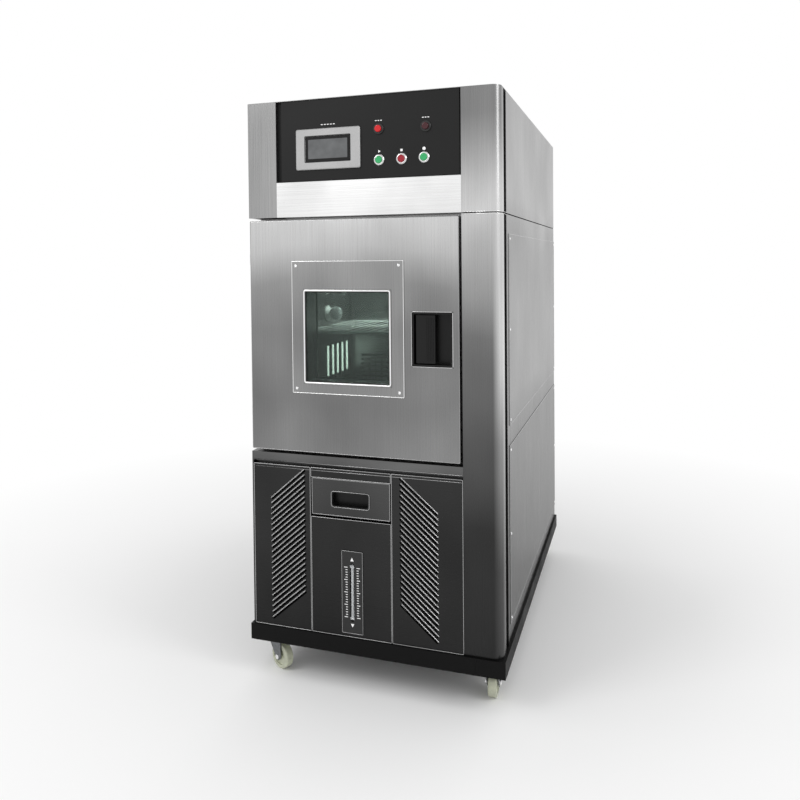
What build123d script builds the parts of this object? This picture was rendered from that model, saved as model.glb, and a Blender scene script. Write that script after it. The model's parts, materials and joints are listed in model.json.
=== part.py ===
from build123d import *
from math import atan2, cos, degrees, hypot, radians, sin
import os

# Driving dimensions in millimetres and degrees.
# X runs to the right, Y to the back and Z up from the floor. The origin is on the floor under the middle.
body_width = 730
body_depth = 1190
skin = 1.5
fit = 0.3
running_gap = 0.05

# Heights of the stack, from the floor up
caster_height = 100
plinth_height = 46
lower_height = 470
groove_height = 12
strip_height = 21
door_gap = 8
door_height = 657
head_strip_height = 100
control_panel_height = 228

# Base
plinth_overhang = 7
plinth_sheet = 3
plinth_flange = 80
deck_sheet = 2

# Right front post and the dark channel behind it
post_width = 104
post_wrap = 46
post_corner_radius = 25
channel_width = 38
channel_depth = 30
frame_edge = 40
rear_edge = 20
access_overlap = 12
access_foot_band = 59
access_band_foot = 529
access_band = 79
access_top_band = 66
bar_depth = 20
head_seam = 3

# Door and chamber front
door_side_gap = 7
door_edge_gap = 2
door_thickness = 55
seal_thickness = 12
seal_width = 30
seal_inset = 4
door_edge_radius = 3
plug_gap = 8
plug_reach = 18

# Cavity
cavity_width = 400
cavity_height = 500
cavity_depth = 450
duct_depth = 150
liner_sheet = 1.2
rear_insulation = 100

# Window
glass_width = 248
glass_height = 253
glass_centre_x = -65
glass_thickness = 4
glass_lap = 4
trim_width = 6.5
trim_proud = 6
window_plate_width = 333
window_plate_height = 374
window_plate_proud = 3
window_plate_corner = 6
window_plate_raise = 26

# Flush handle and latch
handle_width = 106
handle_height = 140
handle_centre_x = 179
handle_depth = 30
handle_wall = 2.2
handle_rim = 5
handle_rim_proud = 2
lever_length = 54
lever_sheet = 5
lever_grip_width = 10
lever_grip_depth = 11
lever_end_gap = 3
lever_sunk = 2
pivot_from_edge = 12
pivot_barrel_radius = 5
pivot_radius = 3
latch_width = 10
latch_height = 16
latch_tail = 95

# Door hinges
hinge_count = 2
hinge_from_end = 110
hinge_height = 90
hinge_knuckle_radius = 7
hinge_pin_radius = 3
hinge_leaf = 3
hinge_axis_out = 10
hinge_axis_back = 40
hinge_leaf_reach = 55

# Head
head_pillar_width = 89
head_groove_width = 16
head_groove_depth = 12
panel_sunk = 3
panel_sheet = 3
panel_side_gap = 4
head_return = 20

# Touch controller
bezel_width = 192
bezel_height = 113
bezel_centre = (-117, 1509.5)
bezel_proud = 6
bezel_corner = 5
screen_frame_width = 134
screen_frame_height = 70
screen_sunk = 2
screen_margin = 8
controller_depth = 45

# Lamps and push-buttons
button_places = [(33, 1471), (97, 1471), (160, 1472)]
lamp_places = [(32, 1555), (165, 1554)]
ring_radius = 15
ring_proud = 4
ring_barrel_radius = 11
button_radius = 9.5
button_proud = 4
button_travel = 3
barrel_length = 30
barrel_floor = 3
lens_proud = 6
lens_seat = 8

# Lower front
left_louvre_width = 178
right_louvre_width = 200
centre_panel_gap = 1.5
panel_gap = 3
louvre_count = 23
louvre_pitch = 15.8
louvre_run = 106
louvre_rise = 91
louvre_slot = 6
louvre_lip = 2.4
louvre_lip_proud = 1.2
louvre_lip_taper = 30
louvre_lip_rise = 4.6
louvre_foot = 20
louvre_inset = 57
right_louvre_inset = 22.3
panel_return = 15

# Water-tank drawer
drawer_side_gap = 3
drawer_height = 104
drawer_foot = 337
drawer_sill_gap = 10
tank_side_gap = 10
tank_height = 84
tank_length = 260
tank_wall = 2.5
pull_width = 111
pull_height = 42
pull_corner = 10
pull_depth = 22
pull_rim = 2.5
cradle_floor_gap = 3
pull_drop = 4

# Level gauge
gauge_width = 64
gauge_height = 233
gauge_foot = 11
gauge_shift = 4
gauge_corner = 6
gauge_proud = 2
slit_width = 12
slit_height = 164
tube_radius = 4

# Casters
wheel_radius = 37.5
wheel_width = 25
wheel_squash = 0.12  # how far the weight presses each tyre flat on the floor
wheel_dish_radius = 0.68 * wheel_radius
wheel_hub_radius = 0.3 * wheel_radius
caster_inset_x = 41
caster_inset_y = 60
caster_trail = 28
caster_plate_size = 70
caster_plate_sheet = 3
caster_race_radius = 24
caster_race_height = 13
caster_cap_thickness = 4
fork_sheet = 3
fork_gap = 2
axle_radius = 5
king_pin_radius = 5
fork_boss = 14
fork_front = 20
bolt_head = 2.5
wheel_dish = 4
caster_angles = {"front_left": -27, "front_right": 94, "rear_left": -35, "rear_right": 130}

# Shelf and air path
shelf_height = 250
shelf_wire = 3
shelf_wire_count = 15
shelf_gap = 8
rail_width = 14
rail_height = 8
duct_slot_count = 8
duct_slot_width = 8
duct_slot_length = 150
fan_radius = 85
fan_width = 45
fan_blade_count = 12
fan_blade = 2
fan_shaft_radius = 6
fan_height = 330
motor_radius = 50
motor_length = 110
coil_height = 120
coil_thickness = 70
heater_rod_radius = 4
heater_rod_count = 5
probe_radius = 4
probe_length = 70

# Machine compartment
compressor_radius = 85
compressor_height = 250
compressor_from_left = 175
compressor_y = 250
humidifier_radius = 60
humidifier_height = 190
humidifier_from_right = 215
humidifier_y = 330
condenser_side_gap = 155
condenser_height = 300
condenser_thickness = 50
condenser_front = 300
shroud_depth = 40
condenser_fan_radius = 120
condenser_blade_count = 5
condenser_blade_pitch = 28
condenser_blade_twist = 14
condenser_blade_sheet = 2
condenser_root_chord = 30
condenser_tip_chord = 54
condenser_spoke_width = 6
condenser_fin_gap = 15
condenser_fin_gap_count = 13
condenser_hub_radius = 30
condenser_motor_radius = 28
condenser_motor_length = 60
backplate_length = 400
contactor_row_share = 0.25
backplate_height = 420
backplate_sheet = 2
contactor_count = 5
contactor_size = (35, 55, 70)
rear_louvre_count = 9
rear_louvre_length = 300
rear_louvre_slot = 8
rear_louvre_pitch = 28
drain_radius = 10
drain_length = 18
gland_radius = 12
gland_length = 18
outlet_bore = 6
outlet_x = 250
outlet_rise = 60

# Places that follow from the sizes above
left = -body_width / 2
right = body_width / 2
front = -body_depth / 2
back = body_depth / 2
z_plinth = caster_height
z_deck = z_plinth + plinth_height
z_lower_top = z_deck + lower_height
z_strip = z_lower_top + groove_height
z_sill = z_strip + strip_height
z_door = z_sill + door_gap
z_door_top = z_door + door_height
z_head = z_door_top + door_gap
z_panel = z_head + head_strip_height
z_top = z_panel + control_panel_height
x_post = right - post_width
x_door = (left + door_edge_gap, x_post - door_side_gap)
z_door_span = (z_door, z_door_top)
y_frame = front + door_thickness + seal_thickness
y_channel = front + post_wrap + channel_width
x_channel = right - channel_depth
door_centre_x = sum(x_door) / 2
door_centre_z = (z_door + z_door_top) / 2
cavity_centre_x = door_centre_x
x_cavity = (cavity_centre_x - cavity_width / 2, cavity_centre_x + cavity_width / 2)
z_cavity = (door_centre_z - cavity_height / 2, door_centre_z + cavity_height / 2)
y_cavity_back = y_frame + cavity_depth + duct_depth
y_duct = y_frame + cavity_depth


def around(centre, size):
    """The two ends of a length that lies evenly about a centre."""
    return (centre - size / 2, centre + size / 2)


def grown(span, amount):
    """A span made longer at both ends, or shorter with a negative amount."""
    return (span[0] - amount, span[1] + amount)


def block(x, y, z, mode=Mode.ADD):
    """Add a block that spans the pairs x, y and z to the part being built."""
    spans = (x, y, z)
    with Locations(tuple(sum(span) / 2 for span in spans)):
        Box(*[high - low for low, high in spans], mode=mode)


def facing(depth):
    """The plane behind the front face by a depth, seen from the front: X to the right, Z up."""
    return Plane.XZ.offset(-(front + depth))


def frame_outline(x, z, corner, mode=Mode.ADD):
    """A rounded rectangle over the spans x and z in the sketch being drawn."""
    with Locations((sum(x) / 2, sum(z) / 2)):
        RectangleRounded(x[1] - x[0], z[1] - z[0], corner, mode=mode)


def save(builder, name):
    """Label a finished piece and write it to its file."""
    builder.part.label = name
    export_step(builder.part, f"parts/{name}.step")


os.makedirs("parts", exist_ok=True)

# Base: a frame of folded channels, open below, and the deck sheet that lies in it
x_plinth = grown((left, right), plinth_overhang)
y_plinth = grown((front, back), plinth_overhang)
z_channel = (z_plinth, z_deck)

with BuildPart() as base_plinth:
    for x in (x_plinth[0], x_plinth[1] - plinth_flange):
        block((x, x + plinth_flange), y_plinth, z_channel)
    for x in (x_plinth[0] + plinth_sheet, x_plinth[1] - plinth_flange):
        inner = (x, x + plinth_flange - plinth_sheet)
        block(inner, grown(y_plinth, -plinth_sheet), grown(z_channel, -plinth_sheet), Mode.SUBTRACT)
    x_cross = grown(x_plinth, -plinth_flange - fit)
    for y in (y_plinth[0], y_plinth[1] - plinth_flange):
        block(x_cross, (y, y + plinth_flange), z_channel)
    for y in (y_plinth[0] + plinth_sheet, y_plinth[1] - plinth_flange):
        block(x_cross, (y, y + plinth_flange - plinth_sheet), grown(z_channel, -plinth_sheet), Mode.SUBTRACT)
    z_sheet = (z_deck + fit, z_deck + fit + deck_sheet)
    block((left + skin + fit, x_post - fit), (front + panel_return + fit, back - skin - fit), z_sheet)
    block((x_post - fit, right - bar_depth - fit), (y_channel + skin + fit, back - skin - fit), z_sheet)
save(base_plinth, "base_plinth")

# Left side: one sheet, stepped back beside the door, with a narrow fold at its lower front edge
left_fold = skin * 3
z_stack = (z_deck, z_head - head_seam)
with BuildPart() as left_side_panel:
    with BuildSketch(Plane.YZ.offset(left)):
        with BuildLine():
            Polyline(
                (front, z_deck), (front, z_sill), (y_frame, z_sill), (y_frame, z_stack[1]),
                (back, z_stack[1]), (back, z_deck), close=True)
        make_face()
    extrude(amount=skin)
    block((left, left + left_fold), (front, front + skin), (z_deck, z_strip - fit))
save(left_side_panel, "left_side_panel")


def post_section():
    """The post's section: a rounded outer corner, the channel's floor behind it, and one sheet's wall."""
    with BuildLine() as edge:
        Polyline(
            (x_post, front), (right, front), (right, front + post_wrap), (x_channel, front + post_wrap),
            (x_channel, y_channel - fit), (x_post, y_channel - fit), close=True)
    outline = make_face(edge.edges())
    corner = outline.vertices().group_by(Axis.X)[-1].sort_by(Axis.Y)[0]
    fillet(corner, post_corner_radius)
    offset(amount=-skin, mode=Mode.SUBTRACT)


y_latch = (front + handle_depth + fit, front + handle_depth + fit + latch_width)
z_latch = around(door_centre_z, latch_height)
with BuildPart() as right_front_post:
    with BuildSketch(Plane.XY.offset(z_deck)):
        post_section()
    extrude(amount=z_head - head_seam - z_deck)
    block((x_post - skin, x_post + 2 * skin), grown(y_latch, 2 * fit), grown(z_latch, 2 * fit), Mode.SUBTRACT)
save(right_front_post, "right_front_post")

# Right side: folded bars, and two access panels screwed over the spaces between them
z_band = z_deck + access_band_foot
z_bands = [
    (z_deck, z_deck + access_foot_band),
    (z_band, z_band + access_band),
    (z_head - access_top_band, z_head - head_seam),
]
y_stiles = [(y_channel, y_channel + frame_edge), (back - rear_edge, back - skin - fit)]
with BuildPart() as right_side_frame:
    for y in y_stiles:
        block((right - bar_depth, right), y, z_stack)
        block((right - bar_depth, right - skin), grown(y, -skin), z_stack, Mode.SUBTRACT)
    y_rail = (y_stiles[0][1] + fit, y_stiles[1][0] - fit)
    for z in z_bands:
        block((right - bar_depth, right), y_rail, z)
        block((right - bar_depth, right - skin), y_rail, grown(z, -skin), Mode.SUBTRACT)
    block((x_channel, right - bar_depth), (y_channel, y_channel + skin), z_stack)
save(right_side_frame, "right_side_frame")

with BuildPart() as right_access_panels:
    for low, high in zip(z_bands[:-1], z_bands[1:]):
        y = grown((y_stiles[0][1], y_stiles[1][0]), access_overlap)
        z = grown((low[1], high[0]), access_overlap)
        block((right, right + skin), y, z)
    outer_edges = right_access_panels.faces().group_by(Axis.X)[-1].edges()
    chamfer(outer_edges, skin / 2)
save(right_access_panels, "right_access_panels")

# Chamber: a liner with its front flange, slabs of foam round it, and a core opening at the back for the fan shaft
y_liner = (y_frame, y_cavity_back)
shaft_z = z_cavity[0] + fan_height
z_shelf = z_cavity[0] + shelf_height
y_shelf = (y_frame + plug_reach + 2 * shelf_gap, y_duct - shelf_gap)
x_flange = (left + skin + fit, x_post - fit)
z_flange = (z_sill + fit, z_head - fit)


def shaft_hole(radius):
    """A hole along Y through the part being built, on the fan shaft's line."""
    with BuildSketch(Plane.XZ.offset(-y_duct)) as hole:
        with Locations((cavity_centre_x, shaft_z)):
            Circle(radius)
    extrude(hole.sketch, amount=-(duct_depth + liner_sheet + 2 * fit + rear_insulation), mode=Mode.SUBTRACT)


with BuildPart() as cavity_liner:
    block(grown(x_cavity, liner_sheet), (y_frame, y_cavity_back + liner_sheet), grown(z_cavity, liner_sheet))
    block(x_flange, (y_frame, y_frame + liner_sheet), z_flange)
    block(x_cavity, (y_frame, y_cavity_back), z_cavity, Mode.SUBTRACT)
    shaft_hole(fan_shaft_radius * 2)
    for x in ((x_cavity[0], x_cavity[0] + rail_width), (x_cavity[1] - rail_width, x_cavity[1])):
        block(x, y_shelf, (z_shelf - rail_height, z_shelf))
save(cavity_liner, "cavity_liner")

x_core = grown(x_cavity, liner_sheet + fit)
z_core = grown(z_cavity, liner_sheet + fit)
y_foam = (y_frame + liner_sheet + fit, y_cavity_back + liner_sheet + fit)
with BuildPart() as insulation:
    block((x_flange[0], x_core[0]), y_foam, z_flange)
    block((x_core[1], x_flange[1]), y_foam, z_flange)
    block(grown(x_core, -fit), y_foam, (z_core[1], z_flange[1]))
    block(grown(x_core, -fit), y_foam, (z_flange[0], z_core[0]))
    block(x_flange, (y_foam[1] + fit, y_foam[1] + rear_insulation), z_flange)
    shaft_hole(fan_shaft_radius * 2)
save(insulation, "insulation")

# Shelf on the liner's ledges, and the slotted panel in front of the air path
x_shelf = grown(x_cavity, -shelf_gap)
shelf_wire_z = z_shelf + fit + shelf_wire
with BuildPart() as wire_shelf:
    x_rods = grown(x_shelf, -shelf_wire)
    y_rods = grown(y_shelf, -shelf_wire)
    with BuildSketch(Plane.XZ.offset(-y_rods[0])):
        with Locations((0, shelf_wire_z)):
            with Locations([(x_rods[0], 0), (x_rods[1], 0)]):
                Circle(shelf_wire)
            with Locations(((x_rods[0] + x_rods[1]) / 2, 0)):
                step = (x_rods[1] - x_rods[0]) / (shelf_wire_count - 1)
                with GridLocations(step, 1, shelf_wire_count - 2, 1):
                    Circle(shelf_wire / 2)
    extrude(amount=-(y_rods[1] - y_rods[0]))
    with BuildSketch(Plane.YZ.offset(x_rods[0])):
        with Locations([(y_rods[0], shelf_wire_z), (sum(y_rods) / 2, shelf_wire_z), (y_rods[1], shelf_wire_z)]):
            Circle(shelf_wire)
    extrude(amount=x_rods[1] - x_rods[0])
save(wire_shelf, "wire_shelf")

with BuildPart() as air_duct_panel:
    block(grown(x_cavity, -fit), (y_duct, y_duct + liner_sheet), grown(z_cavity, -fit))
    with BuildSketch(Plane.XZ.offset(-y_duct)):
        slot_pitch = 2 * duct_slot_width
        bank = duct_slot_count * slot_pitch
        for z in (z_cavity[0] + bank / 2 + slot_pitch, z_cavity[1] - bank / 2 - slot_pitch):
            with Locations((cavity_centre_x, z)):
                with GridLocations(duct_slot_length + 2 * slot_pitch, slot_pitch, 2, duct_slot_count):
                    SlotOverall(duct_slot_length, duct_slot_width)
    extrude(amount=-liner_sheet, mode=Mode.SUBTRACT)
save(air_duct_panel, "air_duct_panel")

# Air path: the coil and the heater below the fan, the fan's wheel in the duct and its motor behind the foam
y_duct_space = (y_duct + liner_sheet, y_cavity_back)
z_coil = (z_cavity[0] + fit, z_cavity[0] + coil_height)
with BuildPart() as coil_and_heater:
    y_coil = (y_cavity_back - coil_thickness, y_cavity_back - fit)
    block(grown(x_cavity, -rail_width), y_coil, z_coil)
    fin_step = (x_cavity[1] - x_cavity[0] - 2 * rail_width) / (shelf_wire_count + 1)
    with Locations((cavity_centre_x, y_coil[0], sum(z_coil) / 2)):
        with GridLocations(fin_step, 1, shelf_wire_count, 1):
            Box(fin_step / 2, coil_thickness / 2, coil_height, mode=Mode.SUBTRACT)
    y_heater = y_duct_space[0] + heater_rod_radius + fit
    x_heater = (x_cavity[0] + fit, x_cavity[1] - fit)
    with BuildSketch(Plane.YZ.offset(x_heater[0])):
        with Locations((y_heater, z_coil[1] + coil_height / 2)):
            with GridLocations(1, 3 * heater_rod_radius, 1, heater_rod_count):
                Circle(heater_rod_radius)
    extrude(amount=x_heater[1] - x_heater[0])
    z_heater = around(z_coil[1] + coil_height / 2, 3 * heater_rod_radius * heater_rod_count)
    for x in x_heater:
        inward = 2 * heater_rod_radius if x == x_heater[0] else -2 * heater_rod_radius
        block(tuple(sorted((x, x + inward))), around(y_heater, 2 * heater_rod_radius), z_heater)
save(coil_and_heater, "coil_and_heater")

y_fan = around(sum(y_duct_space) / 2, fan_width)
y_motor = y_foam[1] + rear_insulation + fit
with BuildPart() as circulation_fan:
    with BuildSketch(Plane.XZ.offset(-y_fan[1])):
        with Locations((cavity_centre_x, shaft_z)):
            Circle(fan_radius)
    extrude(amount=fan_blade)
    with BuildSketch(Plane.XZ.offset(-y_fan[1] + fan_blade)):
        with Locations((cavity_centre_x, shaft_z)):
            with PolarLocations(fan_radius * 0.8, fan_blade_count):
                Rectangle(fan_radius * 0.35, fan_blade, rotation=35)
    extrude(amount=fan_width - 2 * fan_blade)
    with BuildSketch(Plane.XZ.offset(-y_fan[0] - fan_blade)):
        with Locations((cavity_centre_x, shaft_z)):
            Circle(fan_radius)
            Circle(fan_radius * 0.65, mode=Mode.SUBTRACT)
    extrude(amount=fan_blade)
    with BuildSketch(Plane.XZ.offset(-y_fan[0] - fan_width / 2)):
        with Locations((cavity_centre_x, shaft_z)):
            Circle(fan_shaft_radius)
    extrude(amount=-(y_motor + motor_length / 3 - y_fan[0] - fan_width / 2))
save(circulation_fan, "circulation_fan")

with BuildPart() as fan_motor:
    with BuildSketch(Plane.XZ.offset(-y_motor)):
        with Locations((cavity_centre_x, shaft_z)):
            Rectangle(2.6 * motor_radius, 2.6 * motor_radius)
    extrude(amount=-deck_sheet)
    with BuildSketch(Plane.XZ.offset(-y_motor - deck_sheet)):
        with Locations((cavity_centre_x, shaft_z)):
            Circle(motor_radius)
    extrude(amount=-motor_length)
    fillet(fan_motor.faces().sort_by(Axis.Y)[-1].edges(), motor_radius / 5)
    with BuildSketch(Plane.XZ.offset(-y_motor)):
        with Locations((cavity_centre_x, shaft_z)):
            Circle(fan_shaft_radius + running_gap)
    extrude(amount=-(motor_length / 3 + fit), mode=Mode.SUBTRACT)
save(fan_motor, "fan_motor")

with BuildPart() as sensor_probes:
    y_probe = y_frame + cavity_depth / 2
    with BuildSketch(Plane.YZ.offset(x_cavity[0] + fit)):
        with Locations((y_probe, z_cavity[1] - cavity_height / 4)):
            with GridLocations(1, 8 * probe_radius, 1, 2):
                Circle(2.5 * probe_radius)
    extrude(amount=probe_radius)
    with BuildSketch(Plane.YZ.offset(x_cavity[0] + fit)):
        with Locations((y_probe, z_cavity[1] - cavity_height / 4)):
            with GridLocations(1, 8 * probe_radius, 1, 2):
                Circle(probe_radius)
    extrude(amount=probe_length)
    tips = sensor_probes.faces().group_by(Axis.X)[-1].edges()
    fillet(tips, probe_radius * 0.9)
save(sensor_probes, "sensor_probes")

# Door: a pan of sheet folded round its four edges, open at the back
y_door = (front, front + door_thickness)
x_glass = around(glass_centre_x, glass_width)
z_glass = around(door_centre_z, glass_height)
x_pane = grown(x_glass, glass_lap)
z_pane = grown(z_glass, glass_lap)
x_handle = around(handle_centre_x, handle_width)
z_handle = around(door_centre_z - fit, handle_height)
with BuildPart() as door_outer_skin:
    block(x_door, y_door, z_door_span)
    front_edges = door_outer_skin.faces().sort_by(Axis.Y)[0].edges()
    fillet(front_edges, door_edge_radius)
    block(grown(x_door, -skin), (front + skin, y_door[1]), grown(z_door_span, -skin), Mode.SUBTRACT)
    block(grown(x_pane, fit), (front, front + 2 * skin), grown(z_pane, fit), Mode.SUBTRACT)
    block(grown(x_handle, fit), (front, front + 2 * skin), grown(z_handle, fit), Mode.SUBTRACT)
    block((x_door[1] - 2 * skin, x_door[1] + skin), grown(y_latch, fit), grown(z_latch, fit), Mode.SUBTRACT)
save(door_outer_skin, "door_outer_skin")

# Inner skin: the sheet that closes the pan, the plug that enters the cavity and the tunnel of the window
x_plug = grown(x_cavity, -plug_gap)
z_plug = grown(z_cavity, -plug_gap)
y_plug = y_frame + plug_reach
x_tunnel = grown(x_pane, fit)
z_tunnel = grown(z_pane, fit)
y_tunnel = front + skin + fit
with BuildPart() as door_inner_skin:
    block(grown(x_door, -skin - fit), (y_door[1] - skin, y_door[1]), grown(z_door_span, -skin - fit))
    block(x_plug, (y_door[1] - skin, y_plug), z_plug)
    plug_edges = door_inner_skin.faces().sort_by(Axis.Y)[-1].edges()
    fillet(plug_edges, door_edge_radius)
    block(grown(x_plug, -skin), (y_door[1] - skin, y_plug - skin), grown(z_plug, -skin), Mode.SUBTRACT)
    block(grown(x_tunnel, skin), (y_tunnel, y_plug - skin), grown(z_tunnel, skin))
    block(x_tunnel, (y_tunnel, y_plug - skin), z_tunnel, Mode.SUBTRACT)
    block(x_glass, (y_tunnel, y_plug), z_glass, Mode.SUBTRACT)
save(door_inner_skin, "door_inner_skin")

# Door foam: slabs round the window's tunnel, with the handle's space left free
y_foam_door = (front + skin + fit, y_door[1] - skin - fit)
x_foam = grown(x_door, -skin - fit)
z_foam = grown(z_door_span, -skin - fit)
x_hole = grown(x_tunnel, skin + fit)
z_hole = grown(z_tunnel, skin + fit)
x_pocket = (x_handle[0] - fit - handle_rim, x_foam[1])
z_pocket = grown(z_handle, handle_rim + fit)
with BuildPart() as door_foam:
    block((x_foam[0], x_hole[0]), y_foam_door, z_foam)
    block((x_hole[0] + fit, x_foam[1]), y_foam_door, (z_hole[1], z_foam[1]))
    block((x_hole[0] + fit, x_foam[1]), y_foam_door, (z_foam[0], z_hole[0]))
    block((x_hole[1], x_pocket[0]), y_foam_door, grown(z_hole, -fit))
    block((x_pocket[0] + fit, x_foam[1]), y_foam_door, (z_pocket[1], z_hole[1] - fit))
    block((x_pocket[0] + fit, x_foam[1]), y_foam_door, (z_hole[0] + fit, z_pocket[0]))
save(door_foam, "door_foam")

with BuildPart() as door_gasket:
    block(grown(x_cavity, seal_inset + seal_width), (y_door[1], y_frame - fit), grown(z_cavity, seal_inset + seal_width))
    block(grown(x_cavity, seal_inset), (y_door[1], y_frame - fit), grown(z_cavity, seal_inset), Mode.SUBTRACT)
    lip_edges = door_gasket.faces().sort_by(Axis.Y)[-1].edges()
    fillet(lip_edges, seal_thickness / 3)
save(door_gasket, "door_gasket")

# Window: raised plate, rounded bead and two panes
x_trim = grown(x_glass, trim_width)
z_trim = grown(z_glass, trim_width)
window_plate_z = door_centre_z + window_plate_raise
with BuildPart() as window_frame:
    with BuildSketch(facing(0)):
        with Locations((glass_centre_x, window_plate_z)):
            RectangleRounded(window_plate_width, window_plate_height, window_plate_corner)
        with Locations((glass_centre_x, door_centre_z)):
            Rectangle(x_trim[1] - x_trim[0] + 2 * fit, z_trim[1] - z_trim[0] + 2 * fit, mode=Mode.SUBTRACT)
    extrude(amount=window_plate_proud)
    chamfer(window_frame.faces().sort_by(Axis.Y)[0].outer_wire().edges(), window_plate_proud / 3)
    with BuildSketch(facing(0)):
        frame_outline(x_trim, z_trim, trim_width / 2)
        frame_outline(x_glass, z_glass, trim_width / 4, mode=Mode.SUBTRACT)
    extrude(amount=trim_proud)
    fillet(window_frame.faces().sort_by(Axis.Y)[0].edges(), trim_width / 3)
save(window_frame, "window_frame")

with BuildPart() as window_glass:
    block(x_pane, (front + fit, front + fit + glass_thickness), z_pane)
    block(x_pane, (y_plug - skin - fit - glass_thickness, y_plug - skin - fit), z_pane)
save(window_glass, "window_glass")

# Flush handle: a cup with a rim, and a lever that turns on two stubs in the cup's end walls
z_cup_wall = grown(z_handle, -handle_wall)
x_pivot = x_handle[0] + pivot_from_edge
y_pivot = front + pivot_from_edge
with BuildPart() as handle_cup:
    block(x_handle, (front, front + handle_depth), z_handle)
    block(grown(x_handle, handle_rim), (front - handle_rim_proud, front), grown(z_handle, handle_rim))
    rim_edges = handle_cup.faces().sort_by(Axis.Y)[0].edges()
    fillet(rim_edges, handle_rim_proud * 0.6)
    block(grown(x_handle, -handle_wall), (front - handle_rim_proud, front + handle_depth - handle_wall),
          z_cup_wall, Mode.SUBTRACT)
    with BuildSketch(Plane.XY.offset(z_handle[0])):
        with Locations((x_pivot, y_pivot)):
            Circle(pivot_radius + running_gap)
    extrude(amount=handle_height, mode=Mode.SUBTRACT)
save(handle_cup, "handle_cup")

z_lever = grown(z_cup_wall, -lever_end_gap)
x_lever = (x_pivot - pivot_barrel_radius, x_pivot - pivot_barrel_radius + lever_length)
y_lever = front + lever_sunk
with BuildPart() as handle_lever:
    with BuildSketch(Plane.XY.offset(z_lever[0])):
        with BuildLine():
            Polyline(
                (x_lever[0], y_lever), (x_lever[1], y_lever),
                (x_lever[1], y_lever + lever_grip_depth),
                (x_lever[1] - lever_grip_width, y_lever + lever_grip_depth),
                (x_lever[1] - lever_grip_width - lever_sheet, y_lever + lever_sheet),
                (x_pivot, y_lever + lever_sheet), (x_lever[0], y_lever + lever_sheet), close=True)
        plate = make_face()
        turning_corner = plate.vertices().group_by(Axis.Y)[0].sort_by(Axis.X)[0:1]
        fillet(plate.vertices().group_by(Axis.X)[-1] + turning_corner, lever_sheet / 3)
        with Locations((x_pivot, y_pivot)):
            Circle(pivot_barrel_radius)
        with Locations((x_pivot, (y_lever + lever_sheet + y_pivot) / 2)):
            Rectangle(2 * pivot_barrel_radius, y_pivot - y_lever - lever_sheet)
    extrude(amount=z_lever[1] - z_lever[0])
    with BuildSketch(Plane.XY.offset(z_handle[0])):
        with Locations((x_pivot, y_pivot)):
            Circle(pivot_radius)
    extrude(amount=z_handle[1] - z_handle[0])
save(handle_lever, "handle_lever")

with BuildPart() as latch_bolt:
    block((x_door[1] - latch_tail, x_door[1] - fit), y_latch, z_latch)
    nose = latch_bolt.faces().sort_by(Axis.X)[-1].edges().filter_by(Axis.Z)
    fillet(nose, latch_width / 3)
save(latch_bolt, "latch_bolt")

# Door hinges: fixed leaves with their pins on the left side, and door leaves with the middle knuckle
x_hinge = left - hinge_axis_out
y_hinge = front + hinge_axis_back
knuckle = hinge_height / 3
hinge_step = door_height - 2 * hinge_from_end
hinge_heights = [z_door + hinge_from_end + n * hinge_step / (hinge_count - 1) for n in range(hinge_count)]
with BuildPart() as hinge_fixed_leaves:
    for z in hinge_heights:
        for low in (z - hinge_height / 2, z + hinge_height / 2 - knuckle + fit):
            high = low + knuckle - fit
            with BuildSketch(Plane.XY.offset(low)):
                with Locations((x_hinge, y_hinge)):
                    Circle(hinge_knuckle_radius)
                with Locations(((x_hinge + left) / 2, y_hinge)):
                    Rectangle(hinge_axis_out, hinge_leaf)
                with Locations((left - hinge_leaf / 2, (y_hinge + y_frame + hinge_leaf_reach) / 2)):
                    Rectangle(hinge_leaf, y_frame + hinge_leaf_reach - y_hinge + hinge_leaf)
            extrude(amount=high - low)
        block((left - hinge_leaf, left), (y_frame, y_frame + hinge_leaf_reach), around(z, hinge_height))
        with BuildSketch(Plane.XY.offset(z - hinge_height / 2)):
            with Locations((x_hinge, y_hinge)):
                Circle(hinge_pin_radius)
        extrude(amount=hinge_height)
save(hinge_fixed_leaves, "hinge_fixed_leaves")

with BuildPart() as hinge_door_leaves:
    for z in hinge_heights:
        z_leaf = around(z, knuckle - 2 * fit)
        with BuildSketch(Plane.XY.offset(z_leaf[0])):
            with Locations((x_hinge, y_hinge)):
                Circle(hinge_knuckle_radius)
            with Locations(((x_hinge + x_door[0]) / 2, y_hinge)):
                Rectangle(x_door[0] - x_hinge, hinge_leaf)
            with Locations((x_door[0] - hinge_leaf / 2, (front + door_edge_radius + y_door[1]) / 2)):
                Rectangle(hinge_leaf, door_thickness - door_edge_radius)
            with Locations((x_hinge, y_hinge)):
                Circle(hinge_pin_radius + running_gap, mode=Mode.SUBTRACT)
        extrude(amount=z_leaf[1] - z_leaf[0])
save(hinge_door_leaves, "hinge_door_leaves")

# Strip under the door: a folded bar that also makes the step back to the chamber front
with BuildPart() as under_door_strip:
    x_strip = (left + skin + fit, x_post - fit)
    block(x_strip, (front, y_frame), (z_strip, z_sill))
    block(x_strip, (front + skin, y_frame), grown((z_strip, z_sill), -skin), Mode.SUBTRACT)
    y_skirt = front + panel_return + fit
    block(x_strip, (y_skirt, y_skirt + skin), (z_lower_top - bar_depth / 2, z_strip + skin))
save(under_door_strip, "under_door_strip")

# Lower front: two louvred panels and the centre column
x_left_panel = (left + left_fold + fit, left + left_fold + fit + left_louvre_width)
x_right_panel = (x_post - fit - right_louvre_width, x_post - fit)
x_centre = (x_left_panel[1] + centre_panel_gap, x_right_panel[0] - centre_panel_gap)
z_lower = (z_deck + fit, z_lower_top)


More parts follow.
